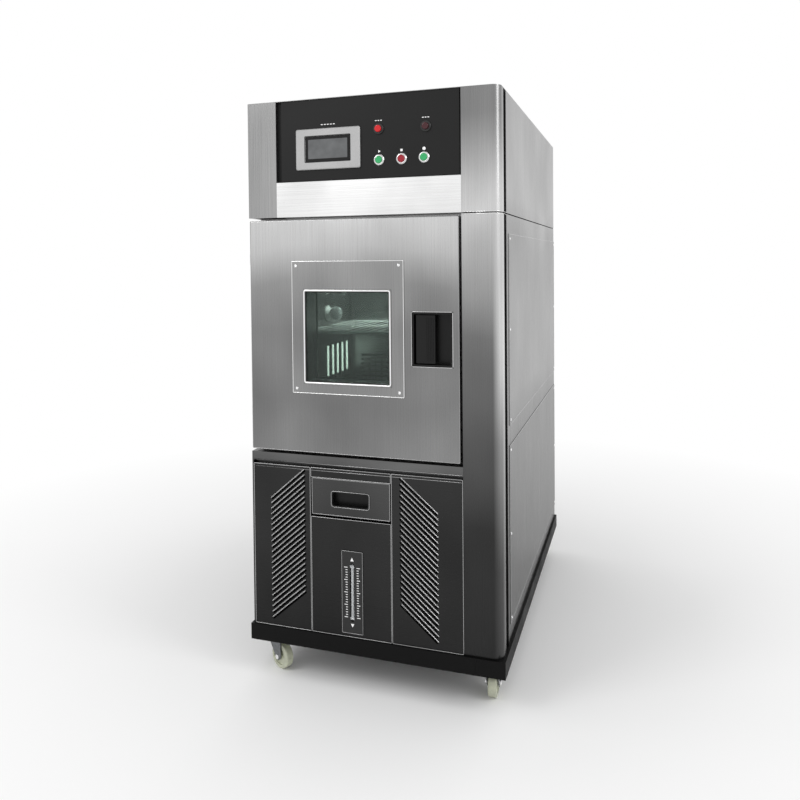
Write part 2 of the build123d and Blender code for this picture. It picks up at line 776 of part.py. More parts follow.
def louvred_panel(x, run_start, side):
    """A folded panel with slanted louvres. The side is 1 where they rise to the right, or -1 to the left."""
    block(x, (front, front + panel_return), z_lower)
    block(grown(x, -skin), (front + skin, front + panel_return), grown(z_lower, -skin), Mode.SUBTRACT)
    length = hypot(louvre_run, louvre_rise)
    slant = atan2(louvre_rise, louvre_run)
    middle_z = z_deck + louvre_foot + (louvre_rise + louvre_pitch * (louvre_count - 1)) / 2
    places = [(run_start + louvre_run / 2, middle_z + (n - (louvre_count - 1) / 2) * louvre_pitch)
              for n in range(louvre_count)]
    with BuildSketch(facing(0)) as slots:
        with Locations(places):
            SlotOverall(length, louvre_slot, rotation=side * degrees(slant))
    extrude(slots.sketch, amount=-2 * skin, mode=Mode.SUBTRACT)
    lift = (-side * louvre_lip_rise * sin(slant), louvre_lip_rise * cos(slant))
    with BuildSketch(facing(0)) as lips:
        with Locations([(place[0] + lift[0], place[1] + lift[1]) for place in places]):
            SlotOverall(length, louvre_lip, rotation=side * degrees(slant))
    extrude(lips.sketch, amount=louvre_lip_proud, taper=louvre_lip_taper)


with BuildPart() as louvre_panels:
    louvred_panel(x_left_panel, x_left_panel[0] + louvre_inset, 1)
    louvred_panel(x_right_panel, x_right_panel[0] + right_louvre_inset, -1)
save(louvre_panels, "louvre_panels")


# Centre column: a lower plate, an upper strip, and the drawer between them
z_drawer = (z_deck + drawer_foot, z_deck + drawer_foot + drawer_height)
x_drawer = grown(x_centre, -drawer_side_gap)
gauge_x = sum(x_centre) / 2 + gauge_shift
z_gauge = (z_deck + gauge_foot, z_deck + gauge_foot + gauge_height)
z_slit = around(sum(z_gauge) / 2, slit_height)
with BuildPart() as centre_panel:
    for z in ((z_lower[0], z_drawer[0] - drawer_sill_gap), (z_drawer[1] + panel_gap, z_lower[1])):
        block(x_centre, (front, front + panel_return), z)
        block(grown(x_centre, -skin), (front + skin, front + panel_return), grown(z, -skin), Mode.SUBTRACT)
    with BuildSketch(facing(0)):
        with Locations((gauge_x, sum(z_slit) / 2)):
            SlotOverall(slit_height, slit_width, rotation=90)
    extrude(amount=-2 * skin, mode=Mode.SUBTRACT)
save(centre_panel, "centre_panel")

with BuildPart() as gauge_plate:
    with BuildSketch(facing(0)):
        frame_outline(around(gauge_x, gauge_width), z_gauge, gauge_corner)
        with Locations((gauge_x, sum(z_slit) / 2)):
            SlotOverall(slit_height, slit_width, rotation=90, mode=Mode.SUBTRACT)
    extrude(amount=gauge_proud)
save(gauge_plate, "gauge_plate")

# The glass tube stands in the slit between two end blocks that fill the slit's ends
with BuildPart() as sight_tube:
    y_tube = front + skin
    z_tube = grown(z_slit, -slit_width)
    with BuildSketch(Plane.XY.offset(z_tube[0])):
        with Locations((gauge_x, y_tube)):
            Circle(tube_radius)
    extrude(amount=z_tube[1] - z_tube[0])
    for z in ((z_slit[0] + slit_width / 2, z_tube[0] + fit), (z_tube[1] - fit, z_slit[1] - slit_width / 2)):
        block(around(gauge_x, slit_width - 2 * fit), around(y_tube, 2 * tube_radius), z)
save(sight_tube, "sight_tube")

pull_z = sum(z_drawer) / 2 - pull_drop
pull_x = sum(x_drawer) / 2
x_pull = around(pull_x, pull_width)
z_pull = around(pull_z, pull_height)
with BuildPart() as drawer_front:
    block(x_drawer, (front, front + panel_return), z_drawer)
    block(grown(x_drawer, -skin), (front + skin, front + panel_return), grown(z_drawer, -skin), Mode.SUBTRACT)
    with BuildSketch(facing(0)):
        frame_outline(grown(x_pull, fit), grown(z_pull, fit), pull_corner)
    extrude(amount=-2 * skin, mode=Mode.SUBTRACT)
save(drawer_front, "drawer_front")

with BuildPart() as drawer_pull:
    with BuildSketch(facing(0)):
        frame_outline(grown(x_pull, pull_rim), grown(z_pull, pull_rim), pull_corner)
    extrude(amount=skin)
    with BuildSketch(facing(0)):
        frame_outline(x_pull, z_pull, pull_corner)
    extrude(amount=-pull_depth)
    with BuildSketch(facing(-skin)):
        frame_outline(grown(x_pull, -pull_rim), grown(z_pull, -pull_rim), pull_corner - pull_rim)
    extrude(amount=-(pull_depth + skin - pull_rim), mode=Mode.SUBTRACT)
save(drawer_pull, "drawer_pull")

# Tank: an open tray fixed behind the drawer front, in a cradle fixed behind the centre panel
x_tank = grown(x_drawer, -tank_side_gap)
z_tank = (z_drawer[0] + skin + cradle_floor_gap, z_drawer[0] + skin + cradle_floor_gap + tank_height)
y_tank = (front + panel_return + pull_depth, front + panel_return + pull_depth + tank_length)
with BuildPart() as water_tank:
    block(x_tank, y_tank, z_tank)
    fillet(water_tank.edges().filter_by(Axis.Z), pull_corner)
    with BuildSketch(Plane.XY.offset(z_tank[1])):
        with Locations((sum(x_tank) / 2, sum(y_tank) / 2)):
            inner_width = x_tank[1] - x_tank[0] - 2 * tank_wall
            RectangleRounded(inner_width, tank_length - 2 * tank_wall, pull_corner - tank_wall)
    extrude(amount=tank_wall - tank_height, mode=Mode.SUBTRACT)
    for x in ((x_tank[0] + pull_corner, x_pull[0] - fit), (x_pull[1] + fit, x_tank[1] - pull_corner)):
        block(x, (front + skin, y_tank[0] + tank_wall), (z_tank[0], z_drawer[1] - skin))
save(water_tank, "water_tank")

x_cradle = grown(x_tank, fit + skin)
z_cradle = (z_tank[0] - fit - skin, z_drawer[1] + panel_gap + panel_return)
y_cradle = (front + panel_return, y_tank[1] + fit + skin)
with BuildPart() as tank_cradle:
    block(x_cradle, y_cradle, z_cradle)
    block(grown(x_cradle, -skin), (y_cradle[0], y_cradle[1] - skin), (z_cradle[0] + skin, z_cradle[1]), Mode.SUBTRACT)
    for x in ((x_cradle[0] - bar_depth / 2, x_cradle[0]), (x_cradle[1], x_cradle[1] + bar_depth / 2)):
        block(x, (y_cradle[0], y_cradle[0] + skin), z_cradle)
save(tank_cradle, "tank_cradle")

# Head: a shell open to the front and below, two pillars, the control panel and the strip under it
y_pillar = (front, front + head_return)
z_pillar = (z_head, z_top - skin - fit)
with BuildPart() as head_shell:
    with BuildSketch(Plane.XY.offset(z_top - skin)):
        roof = Rectangle(body_width, body_depth)
        corner = roof.vertices().group_by(Axis.X)[-1].sort_by(Axis.Y)[0]
        fillet(corner, post_corner_radius)
    extrude(amount=skin)
    block((left, left + skin), (y_pillar[1] + fit, back), (z_head, z_top - skin))
    block((right - skin, right), (y_channel, back), (z_head, z_top - skin))
    block((x_channel, right), (y_channel, y_channel + skin), (z_head, z_top - skin))
    block((left, right), (back - skin, back), (z_head, z_top - skin))
save(head_shell, "head_shell")

x_groove = (left + head_pillar_width, left + head_pillar_width + head_groove_width)
with BuildPart() as head_pillars:
    block((left, x_groove[0]), y_pillar, z_pillar)
    block((left + skin, x_groove[0] - skin), (front + skin, y_pillar[1]), grown(z_pillar, -skin), Mode.SUBTRACT)
    with BuildSketch(Plane.XY.offset(z_pillar[0])):
        post_section()
    extrude(amount=z_pillar[1] - z_pillar[0])
save(head_pillars, "head_pillars")

x_strip_head = (x_groove[0] + fit, x_post - fit)
with BuildPart() as head_strip:
    block(x_strip_head, (front, y_frame), (z_head, z_panel - door_side_gap / 4))
    block(x_strip_head, (front + skin, y_frame), (z_head + skin, z_panel), Mode.SUBTRACT)
save(head_strip, "head_strip")

# Control panel: one black sheet with a groove at its left, bored for the controller, lamps and buttons
x_face = (x_groove[1], x_post - panel_side_gap)
z_face = (z_panel, z_top - skin - fit)
y_face = front + panel_sunk
x_bezel = around(bezel_centre[0], bezel_width)
z_bezel = around(bezel_centre[1], bezel_height)
x_screen = around(bezel_centre[0], screen_frame_width)
z_screen = around(bezel_centre[1], screen_frame_height)
ring_places = button_places + lamp_places
with BuildPart() as control_panel:
    block(x_face, (y_face, y_face + panel_sheet), z_face)
    block((x_groove[0] + fit, x_groove[1]), (front + head_groove_depth, front + head_groove_depth + panel_sheet), z_face)
    block((x_groove[1], x_groove[1] + panel_sheet), (y_face, front + head_groove_depth + panel_sheet), z_face)
    block(grown(x_screen, fit), (front, front + head_return), grown(z_screen, fit), Mode.SUBTRACT)
    with BuildSketch(facing(0)):
        with Locations(ring_places):
            Circle(ring_barrel_radius + fit)
    extrude(amount=-head_return, mode=Mode.SUBTRACT)
save(control_panel, "control_panel")

with BuildPart() as controller_bezel:
    with BuildSketch(facing(panel_sunk)):
        frame_outline(x_bezel, z_bezel, bezel_corner)
        frame_outline(grown(x_screen, fit), grown(z_screen, fit), fit, mode=Mode.SUBTRACT)
    extrude(amount=bezel_proud)
    chamfer(controller_bezel.faces().sort_by(Axis.Y)[0].edges(), bezel_proud / 3)
save(controller_bezel, "controller_bezel")

with BuildPart() as controller_screen:
    y_screen = y_face - bezel_proud + screen_sunk
    block(x_screen, (y_screen, y_screen + controller_depth), z_screen)
    display = grown(x_screen, -screen_margin)
    block(display, (y_screen, y_screen + fit), grown(z_screen, -screen_margin), Mode.SUBTRACT)
save(controller_screen, "controller_screen")

with BuildPart() as panel_rings:
    with BuildSketch(Plane.XZ.offset(-y_face)):
        with Locations(ring_places):
            Circle(ring_radius)
    extrude(amount=ring_proud)
    chamfer(panel_rings.faces().group_by(Axis.Y)[0].edges(), ring_proud / 3)
    with BuildSketch(Plane.XZ.offset(-y_face)):
        with Locations(ring_places):
            Circle(ring_barrel_radius)
    extrude(amount=-barrel_length)
    with BuildSketch(Plane.XZ.offset(-y_face + ring_proud)):
        with Locations(ring_places):
            Circle(button_radius + running_gap)
    extrude(amount=-(barrel_length + ring_proud - barrel_floor), mode=Mode.SUBTRACT)
save(panel_rings, "panel_rings")


def cap(place, radius, proud, length):
    """A round cap with a softened edge that stands out of a ring and runs back into its barrel."""
    with BuildSketch(Plane.XZ.offset(-y_face + ring_proud + proud)) as disc:
        with Locations(place):
            Circle(radius)
    crown = extrude(disc.sketch, amount=-length)
    fillet(crown.faces().sort_by(Axis.Y)[0].edges(), min(radius, proud) * 0.6)


button_length = barrel_length + ring_proud - barrel_floor - button_travel - 2 * fit + button_proud
with BuildPart() as run_button:
    cap(button_places[0], button_radius, button_proud, button_length)
save(run_button, "run_button")

with BuildPart() as stop_button:
    cap(button_places[1], button_radius, button_proud, button_length)
save(stop_button, "stop_button")

with BuildPart() as light_button:
    cap(button_places[2], button_radius, button_proud, button_length)
save(light_button, "light_button")

with BuildPart() as indicator_lenses:
    for place in lamp_places:
        cap(place, button_radius, lens_proud, lens_proud + ring_proud + lens_seat)
save(indicator_lenses, "indicator_lenses")

# Casters: plates with king pins under the plinth, forks that trail behind them, and crowned wheels
caster_x = right - caster_inset_x
caster_y = back - caster_inset_y
caster_places = {
    "front_left": (-caster_x, -caster_y),
    "front_right": (caster_x, -caster_y),
    "rear_left": (-caster_x, caster_y),
    "rear_right": (caster_x, caster_y),
}
z_race = z_plinth - caster_plate_sheet - caster_race_height
z_cap = (z_race - fit - caster_cap_thickness, z_race - fit)
with BuildPart() as caster_plates:
    for place in caster_places.values():
        with BuildSketch(Plane.XY.offset(z_plinth - caster_plate_sheet)):
            with Locations(place):
                RectangleRounded(caster_plate_size, caster_plate_size, caster_plate_sheet * 2)
        extrude(amount=caster_plate_sheet)
        with BuildSketch(Plane.XY.offset(z_race)):
            with Locations(place):
                Circle(caster_race_radius)
        extrude(amount=caster_race_height)
        with BuildSketch(Plane.XY.offset(z_cap[0])):
            with Locations(place):
                Circle(king_pin_radius)
        extrude(amount=z_race - z_cap[0])
save(caster_plates, "caster_plates")

arm_offset = wheel_width / 2 + fork_gap
for corner_name, place in caster_places.items():
    roll = Vector(cos(radians(caster_angles[corner_name])), sin(radians(caster_angles[corner_name])), 0)
    across = Vector(0, 0, 1).cross(roll)
    side = Plane(origin=(place[0], place[1], 0), x_dir=roll, z_dir=roll.cross(Vector(0, 0, 1)))
    with BuildPart() as caster_fork:
        with BuildSketch(Plane.XY.offset(z_cap[0])):
            with Locations(place):
                Circle(caster_race_radius)
                Circle(king_pin_radius + running_gap, mode=Mode.SUBTRACT)
        extrude(amount=caster_cap_thickness)
        for low in (-arm_offset - fork_sheet, arm_offset):
            with BuildSketch(side.offset(low)):
                with BuildLine():
                    Polyline(
                        (-fork_front, z_cap[1]), (caster_trail + fork_front / 2, z_cap[1]),
                        (caster_trail + fork_boss, wheel_radius), (caster_trail, wheel_radius - fork_boss),
                        (caster_trail - fork_boss, wheel_radius), close=True)
                arm = make_face()
                fillet(arm.vertices().group_by(Axis.Z)[0], fork_boss * 0.4)
            extrude(amount=fork_sheet)
        with BuildSketch(side.offset(-arm_offset)):
            with Locations((caster_trail, wheel_radius)):
                Circle(axle_radius)
        extrude(amount=2 * arm_offset)
        with BuildSketch(side.offset(-arm_offset - fork_sheet - bolt_head)):
            with Locations((caster_trail, wheel_radius)):
                RegularPolygon(axle_radius, 6)
        extrude(amount=bolt_head)
        with BuildSketch(side.offset(arm_offset + fork_sheet)):
            with Locations((caster_trail, wheel_radius)):
                RegularPolygon(axle_radius, 6)
        extrude(amount=bolt_head)
    save(caster_fork, f"caster_fork_{corner_name}")
    with BuildPart() as caster_wheel:
        with BuildSketch(side.offset(-wheel_width / 2)):
            with Locations((caster_trail, wheel_radius)):
                Circle(wheel_radius + wheel_squash)
        extrude(amount=wheel_width)
        fillet(caster_wheel.edges().filter_by(GeomType.CIRCLE), wheel_width / 5)
        split(bisect_by=Plane.XY)
        for face_offset, depth in ((-wheel_width / 2, wheel_dish), (wheel_width / 2, -wheel_dish)):
            with BuildSketch(side.offset(face_offset)):
                with Locations((caster_trail, wheel_radius)):
                    Circle(wheel_dish_radius)
                    Circle(wheel_hub_radius, mode=Mode.SUBTRACT)
            extrude(amount=depth, mode=Mode.SUBTRACT)
        with BuildSketch(side.offset(-wheel_width / 2)):
            with Locations((caster_trail, wheel_radius)):
                Circle(axle_radius + running_gap)
        extrude(amount=wheel_width, mode=Mode.SUBTRACT)
    save(caster_wheel, f"caster_wheel_{corner_name}")

# Machine compartment, on the deck
z_floor = z_deck + fit + deck_sheet
with BuildPart() as compressor:
    with BuildSketch(Plane.XY.offset(z_floor)):
        with Locations((left + compressor_from_left, compressor_y)):
            RectangleRounded(2 * compressor_radius, 1.6 * compressor_radius, compressor_radius / 5)
    extrude(amount=deck_sheet * 3)
    with BuildSketch(Plane.XY.offset(z_floor)):
        with Locations((left + compressor_from_left, compressor_y)):
            Circle(compressor_radius)
    extrude(amount=compressor_height)
    fillet(compressor.faces().sort_by(Axis.Z)[-1].edges(), compressor_radius / 2)
save(compressor, "compressor")

with BuildPart() as humidifier:
    with BuildSketch(Plane.XY.offset(z_floor)):
        with Locations((right - humidifier_from_right, humidifier_y)):
            Circle(humidifier_radius)
    extrude(amount=humidifier_height)
    fillet(humidifier.faces().sort_by(Axis.Z)[-1].edges(), humidifier_radius / 6)
    with BuildSketch(Plane.XY.offset(z_floor + humidifier_height)):
        with Locations((right - humidifier_from_right, humidifier_y)):
            Circle(humidifier_radius / 4)
    extrude(amount=humidifier_radius / 2)
save(humidifier, "humidifier")

y_condenser = (front + condenser_front, front + condenser_front + condenser_thickness)
z_condenser = (z_floor, z_floor + condenser_height)
x_condenser = grown((left, right), -condenser_side_gap)
fan_centre = (0, sum(z_condenser) / 2)
with BuildPart() as condenser_unit:
    block(x_condenser, y_condenser, z_condenser)
    with Locations((0, y_condenser[0], sum(z_condenser) / 2)):
        with GridLocations(2 * condenser_fin_gap, 1, condenser_fin_gap_count, 1):
            Box(condenser_fin_gap, condenser_thickness, condenser_height - 2 * condenser_fin_gap, mode=Mode.SUBTRACT)
    y_shroud = (y_condenser[1] + fit, y_condenser[1] + fit + shroud_depth)
    block(x_condenser, y_shroud, z_condenser)
    block(grown(x_condenser, -skin), (y_shroud[0], y_shroud[1] - skin), grown(z_condenser, -skin), Mode.SUBTRACT)
    with BuildSketch(Plane.XZ.offset(-y_shroud[1] + 2 * skin)):
        with Locations(fan_centre):
            Circle(condenser_fan_radius + condenser_spoke_width)
    extrude(amount=-4 * skin, mode=Mode.SUBTRACT)
    with BuildSketch(Plane.XZ.offset(-y_shroud[1])):
        with Locations(fan_centre):
            Rectangle(2 * (condenser_fan_radius + 2 * condenser_spoke_width), condenser_spoke_width)
            Circle(condenser_motor_radius)
    extrude(amount=-3 * skin)
    with BuildSketch(Plane.XZ.offset(-y_shroud[1])):
        with Locations(fan_centre):
            Circle(condenser_motor_radius)
    extrude(amount=-condenser_motor_length)
    with BuildSketch(Plane.XZ.offset(-y_shroud[1])):
        with Locations(fan_centre):
            Circle(axle_radius + running_gap)
    extrude(amount=-condenser_motor_length / 2, mode=Mode.SUBTRACT)
save(condenser_unit, "condenser_unit")

with BuildPart() as condenser_fan:
    y_hub = (y_shroud[0] + shroud_depth / 4, y_shroud[1] - 2 * fit)
    with BuildSketch(Plane.XZ.offset(-y_hub[1])):
        with Locations(fan_centre):
            Circle(condenser_hub_radius)
    extrude(amount=y_hub[1] - y_hub[0])
    with BuildSketch(Plane.XZ.offset(-y_hub[1])):
        with Locations(fan_centre):
            Circle(axle_radius)
    extrude(amount=-condenser_motor_length / 2 + fit)
    for n in range(condenser_blade_count):
        angle = 360 * n / condenser_blade_count
        out = Vector(cos(radians(angle)), 0, sin(radians(angle)))
        hub = Vector(fan_centre[0], sum(y_hub) / 2, fan_centre[1])
        stations = [
            (condenser_hub_radius - condenser_blade_sheet, condenser_blade_pitch + condenser_blade_twist,
             condenser_root_chord),
            (condenser_fan_radius, condenser_blade_pitch, condenser_tip_chord)]
        sections = []
        for reach, pitch, chord in stations:
            with BuildSketch(Plane(origin=hub + out * reach, x_dir=Vector(0, 1, 0), z_dir=out)) as section:
                Rectangle(chord, condenser_blade_sheet, rotation=90 - pitch)
            sections.append(section.sketch.face())
        loft(sections)
save(condenser_fan, "condenser_fan")

# Electrical plate on the chamber's right wall, with its row of contactors
with BuildPart() as electrical_panel:
    y_plate = around(front + body_depth / 3, backplate_length)
    z_plate = around(door_centre_z, backplate_height)
    x_plate = (x_flange[1] + fit, x_flange[1] + fit + backplate_sheet)
    block(x_plate, y_plate, z_plate)
    for row in around(sum(z_plate) / 2, 2 * contactor_row_share * backplate_height):
        with Locations((x_plate[1] + contactor_size[0] / 2, sum(y_plate) / 2, row)):
            with GridLocations(1, backplate_length / (contactor_count + 1), 1, contactor_count):
                Box(contactor_size[0], contactor_size[1], contactor_size[2])
save(electrical_panel, "electrical_panel")

# Rear: a plain upper cover and a louvred lower one, with the drain and the cable gland
with BuildPart() as rear_covers:
    block(grown((left, right), -skin - fit), (back - skin, back), (z_band, z_head - fit))
    z_rear = (z_deck + fit, z_band - fit)
    block(grown((left, right), -skin - fit), (back - skin, back), z_rear)
    with BuildSketch(Plane.XZ.offset(-back)):
        with Locations((0, sum(z_rear) / 2)):
            with GridLocations(rear_louvre_length + rear_louvre_pitch, rear_louvre_pitch, 2, rear_louvre_count):
                SlotOverall(rear_louvre_length, rear_louvre_slot)
    extrude(amount=2 * skin, mode=Mode.SUBTRACT)
    with BuildSketch(Plane.XZ.offset(-back)):
        with Locations([(outlet_x, z_rear[0] + outlet_rise), (-outlet_x, z_rear[0] + outlet_rise)]):
            Circle(outlet_bore + fit)
    extrude(amount=2 * skin, mode=Mode.SUBTRACT)
save(rear_covers, "rear_covers")

with BuildPart() as rear_outlets:
    for x, radius, length in ((outlet_x, drain_radius, drain_length), (-outlet_x, gland_radius, gland_length)):
        with BuildSketch(Plane.XZ.offset(-back)):
            with Locations((x, z_rear[0] + outlet_rise)):
                Circle(radius)
        extrude(amount=-length)
        with BuildSketch(Plane.XZ.offset(-back + 4 * skin)):
            with Locations((x, z_rear[0] + outlet_rise)):
                Circle(outlet_bore)
        extrude(amount=-4 * skin)
save(rear_outlets, "rear_outlets")
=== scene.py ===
"""Environmental test chamber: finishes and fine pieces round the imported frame."""
import json
import math

import bpy
import numpy as np
from mathutils import Matrix, Vector


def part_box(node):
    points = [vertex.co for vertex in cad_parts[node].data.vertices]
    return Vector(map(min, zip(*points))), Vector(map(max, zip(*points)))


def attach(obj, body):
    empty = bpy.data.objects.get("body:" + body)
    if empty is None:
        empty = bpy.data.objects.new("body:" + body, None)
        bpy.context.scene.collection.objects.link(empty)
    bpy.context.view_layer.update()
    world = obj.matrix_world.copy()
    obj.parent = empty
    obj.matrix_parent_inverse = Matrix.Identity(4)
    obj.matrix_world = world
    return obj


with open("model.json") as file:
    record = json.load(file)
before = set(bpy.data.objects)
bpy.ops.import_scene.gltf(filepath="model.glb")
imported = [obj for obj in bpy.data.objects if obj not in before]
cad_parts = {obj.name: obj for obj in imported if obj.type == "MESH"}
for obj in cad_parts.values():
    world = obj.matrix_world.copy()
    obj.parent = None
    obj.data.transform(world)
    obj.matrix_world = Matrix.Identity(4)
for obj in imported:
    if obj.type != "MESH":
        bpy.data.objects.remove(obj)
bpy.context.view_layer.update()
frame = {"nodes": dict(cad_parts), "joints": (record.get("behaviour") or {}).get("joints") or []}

bl_info = {
    "name": "Test chamber dressing",
    "version": (1, 0, 0),
    "blender": (4, 5, 0),
    "location": "View3D > Sidebar > Chamber",
    "description": "Finishes, beads, screws, marks and lamps of a climate test chamber",
    "category": "Object",
}

CORNERS = ("front_left", "front_right", "rear_left", "rear_right")
ROOF_Z = float(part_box("head_shell")[1][2])
MARK_SHEET = 0.0002
MARK_BAR = 0.0022
TICK_LONG, TICK_SHORT, TICK_WIDTH = 0.010, 0.006, 0.0019
TICK_CLEAR = 0.0135
LAMP_SPHERE = 0.021
SHELF_RAIL = 0.0046
FLOOR_HALF = 30.0
FLOOR_KEPT, FLOOR_WHITE = 0.9, 2.6


# Mesh helpers

def add_mesh(name, points, faces, body, material, smooth=False):
    """A piece from points and faces that rides on a body and wears one material."""
    mesh = bpy.data.meshes.new(name)
    mesh.from_pydata(np.asarray(points, float).tolist(), [], [list(map(int, f)) for f in faces])
    mesh.validate()
    mesh.update()
    mesh.polygons.foreach_set("use_smooth", np.full(len(mesh.polygons), smooth))
    piece = bpy.data.objects.new(name, mesh)
    bpy.context.scene.collection.objects.link(piece)
    piece.data.materials.append(material)
    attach(piece, body)
    return piece


def grid_faces(rows, columns, wrap_rows=False, wrap_columns=True):
    """Quads of a grid of rows by columns: each joins a point, its neighbour in the row and the two above."""
    r = np.arange(rows if wrap_rows else rows - 1)
    c = np.arange(columns if wrap_columns else columns - 1)
    r, c = np.meshgrid(r, c, indexing="ij")
    up, on = (r + 1) % rows, (c + 1) % columns
    return np.stack([r * columns + c, r * columns + on, up * columns + on, up * columns + c], axis=-1).reshape(-1, 4)


def rounded_outline(width, height, radius, steps=5):
    """A rectangle's outline whose corners are quarter circles: corner centre + radius (cos t, sin t)."""
    t = np.linspace(0, math.pi / 2, steps)
    quarters = []
    for turn, (sx, sz) in enumerate(((1, 1), (-1, 1), (-1, -1), (1, -1))):
        angle = t + turn * math.pi / 2
        centre = np.array([sx * (width / 2 - radius), sz * (height / 2 - radius)])
        quarters.append(centre + radius * np.stack([np.cos(angle), np.sin(angle)], axis=-1))
    return np.concatenate(quarters)


def slot_outline(length, width, angle, steps=7):
    """A slot's outline: two half circles of radius width / 2, turned by the angle."""
    t = np.linspace(-math.pi / 2, math.pi / 2, steps)
    half = np.stack([(length - width) / 2 + width / 2 * np.cos(t), width / 2 * np.sin(t)], axis=-1)
    points = np.concatenate([half, -half])
    turn = np.array([[math.cos(angle), math.sin(angle)], [-math.sin(angle), math.cos(angle)]])
    return points @ turn


def plate_faces(count, layers):
    """Faces of a closed plate: rings of count points, joined layer to layer, and a cap at each end."""
    sides = grid_faces(layers, count)
    return [*sides, list(range(count))[::-1], [(layers - 1) * count + n for n in range(count)]]


def front_plates(name, outlines, y_back, y_face, body, material, bevel=0.0):
    """Plates that face the front: each outline is carried from y_back to y_face, and drawn in by the bevel there."""
    points, faces, start = [], [], 0
    for outline in outlines:
        centre = outline.mean(axis=0)
        drawn_in = centre + (outline - centre) * (1 - bevel / np.abs(outline - centre).max())
        layers = [(outline, y_back), (outline, y_face + bevel), (drawn_in, y_face)]
        for shape, y in layers:
            points.append(np.stack([shape[:, 0], np.full(len(shape), y), shape[:, 1]], axis=-1))
        faces += [[start + i for i in f] for f in plate_faces(len(outline), len(layers))]
        start += len(layers) * len(outline)
    return add_mesh(name, np.concatenate(points), faces, body, material)


def front_beads(name, outlines, radius, y, body, material, sides=8, to_side=False):
    """Beads round closed outlines: at each point a circle of the radius in the plane of the outline's normal and Y.
    To the side, the whole is turned a quarter about Z, so that what faced the front faces the right."""
    angle = np.arange(sides) * 2 * math.pi / sides
    points, faces, start = [], [], 0
    for outline in outlines:
        along = np.roll(outline, -1, axis=0) - np.roll(outline, 1, axis=0)
        along /= np.linalg.norm(along, axis=1, keepdims=True)
        normal = np.stack([along[:, 1], -along[:, 0]], axis=-1)
        flat = outline[:, None, :] + radius * np.cos(angle)[None, :, None] * normal[:, None, :]
        depth = np.broadcast_to(y - radius * np.sin(angle)[None, :], flat.shape[:2])
        axes = (-depth, flat[..., 0]) if to_side else (flat[..., 0], depth)
        points.append(np.stack([*axes, flat[..., 1]], axis=-1).reshape(-1, 3))
        faces += [[start + i for i in f] for f in grid_faces(len(outline), sides, wrap_rows=True)]
        start += len(outline) * sides
    return add_mesh(name, np.concatenate(points), faces, body, material, smooth=True)


def revolved(name, centres, axis, profile, body, material, sides=28, smooth=True):
    """Turned pieces: a profile of (radius, height along the axis) pairs, turned about the axis at each centre."""
    axis = np.asarray(axis, float)
    side = np.array([0.0, 0.0, 1.0]) if abs(axis[2]) < 0.9 else np.array([1.0, 0.0, 0.0])
    across = np.cross(side, axis)
    angle = np.arange(sides) * 2 * math.pi / sides
    ring = np.cos(angle)[:, None] * across + np.sin(angle)[:, None] * np.cross(axis, across)
    r, h = np.asarray(profile, float).T
    shape = (r[:, None, None] * ring[None] + h[:, None, None] * axis).reshape(-1, 3)
    faces_one = plate_faces(sides, len(r))
    points, faces = [], []
    for n, centre in enumerate(centres):
        points.append(shape + np.asarray(centre))
        faces += [[n * len(shape) + i for i in f] for f in faces_one]
    return add_mesh(name, np.concatenate(points), faces, body, material, smooth=smooth)


def level_tube(name, path, radius, body, material, sides=10):
    """A closed tube along a level path: a circle in the plane of Z and the path's level normal, carried along it."""
    path = np.asarray(path, float)
    along = np.gradient(path, axis=0)
    along /= np.linalg.norm(along, axis=1, keepdims=True)
    normal = np.stack([along[:, 1], -along[:, 0], np.zeros(len(path))], axis=-1)
    angle = np.arange(sides) * 2 * math.pi / sides
    up = np.array([0.0, 0.0, 1.0])
    across, rise = np.cos(angle)[None, :, None], np.sin(angle)[None, :, None]
    rings = path[:, None] + radius * (across * normal[:, None] + rise * up)
    return add_mesh(name, rings.reshape(-1, 3), plate_faces(sides, len(path)), body, material, smooth=True)


def boxes(name, spans, body, material):
    """Closed boxes, each between a low and a high corner."""
    unit = np.array([[x, y, z] for x in (0, 1) for y in (0, 1) for z in (0, 1)], float)
    sides = [(0, 1, 3, 2), (4, 6, 7, 5), (0, 4, 5, 1), (2, 3, 7, 6), (0, 2, 6, 4), (1, 5, 7, 3)]
    points, faces = [], []
    for n, (low, high) in enumerate(spans):
        points.append(np.asarray(low) + unit * (np.asarray(high) - np.asarray(low)))
        faces += [[8 * n + i for i in f] for f in sides]
    return add_mesh(name, np.concatenate(points), faces, body, material)


# Materials

def start_material(name):
    """An empty procedural material: its nodes, links, shader, and Object coordinates."""
    material = bpy.data.materials.new(name)
    material.use_nodes = True
    tree = material.node_tree
    shader = tree.nodes["Principled BSDF"]
    coords = tree.nodes.new("ShaderNodeTexCoord").outputs["Object"]
    return material, tree, shader, coords


def noise(tree, coords, scale, detail=4.0, rough=0.5):
    """A noise field over coordinates stretched by the scale, one number or one for each axis."""
    mapping = tree.nodes.new("ShaderNodeMapping")
    mapping.inputs["Scale"].default_value = scale if isinstance(scale, tuple) else (scale,) * 3
    tree.links.new(coords, mapping.inputs["Vector"])
    field = tree.nodes.new("ShaderNodeTexNoise")
    field.inputs["Scale"].default_value = 1.0
    field.inputs["Detail"].default_value = detail
    field.inputs["Roughness"].default_value = rough
    tree.links.new(mapping.outputs["Vector"], field.inputs["Vector"])
    return field.outputs["Fac"]


def spread(tree, value, low, high, start=0.3, end=0.7):
    """The value carried from its own range to the range low to high."""
    node = tree.nodes.new("ShaderNodeMapRange")
    for key, number in (("From Min", start), ("From Max", end), ("To Min", low), ("To Max", high)):
        node.inputs[key].default_value = number
    tree.links.new(value, node.inputs["Value"])
    return node.outputs["Result"]


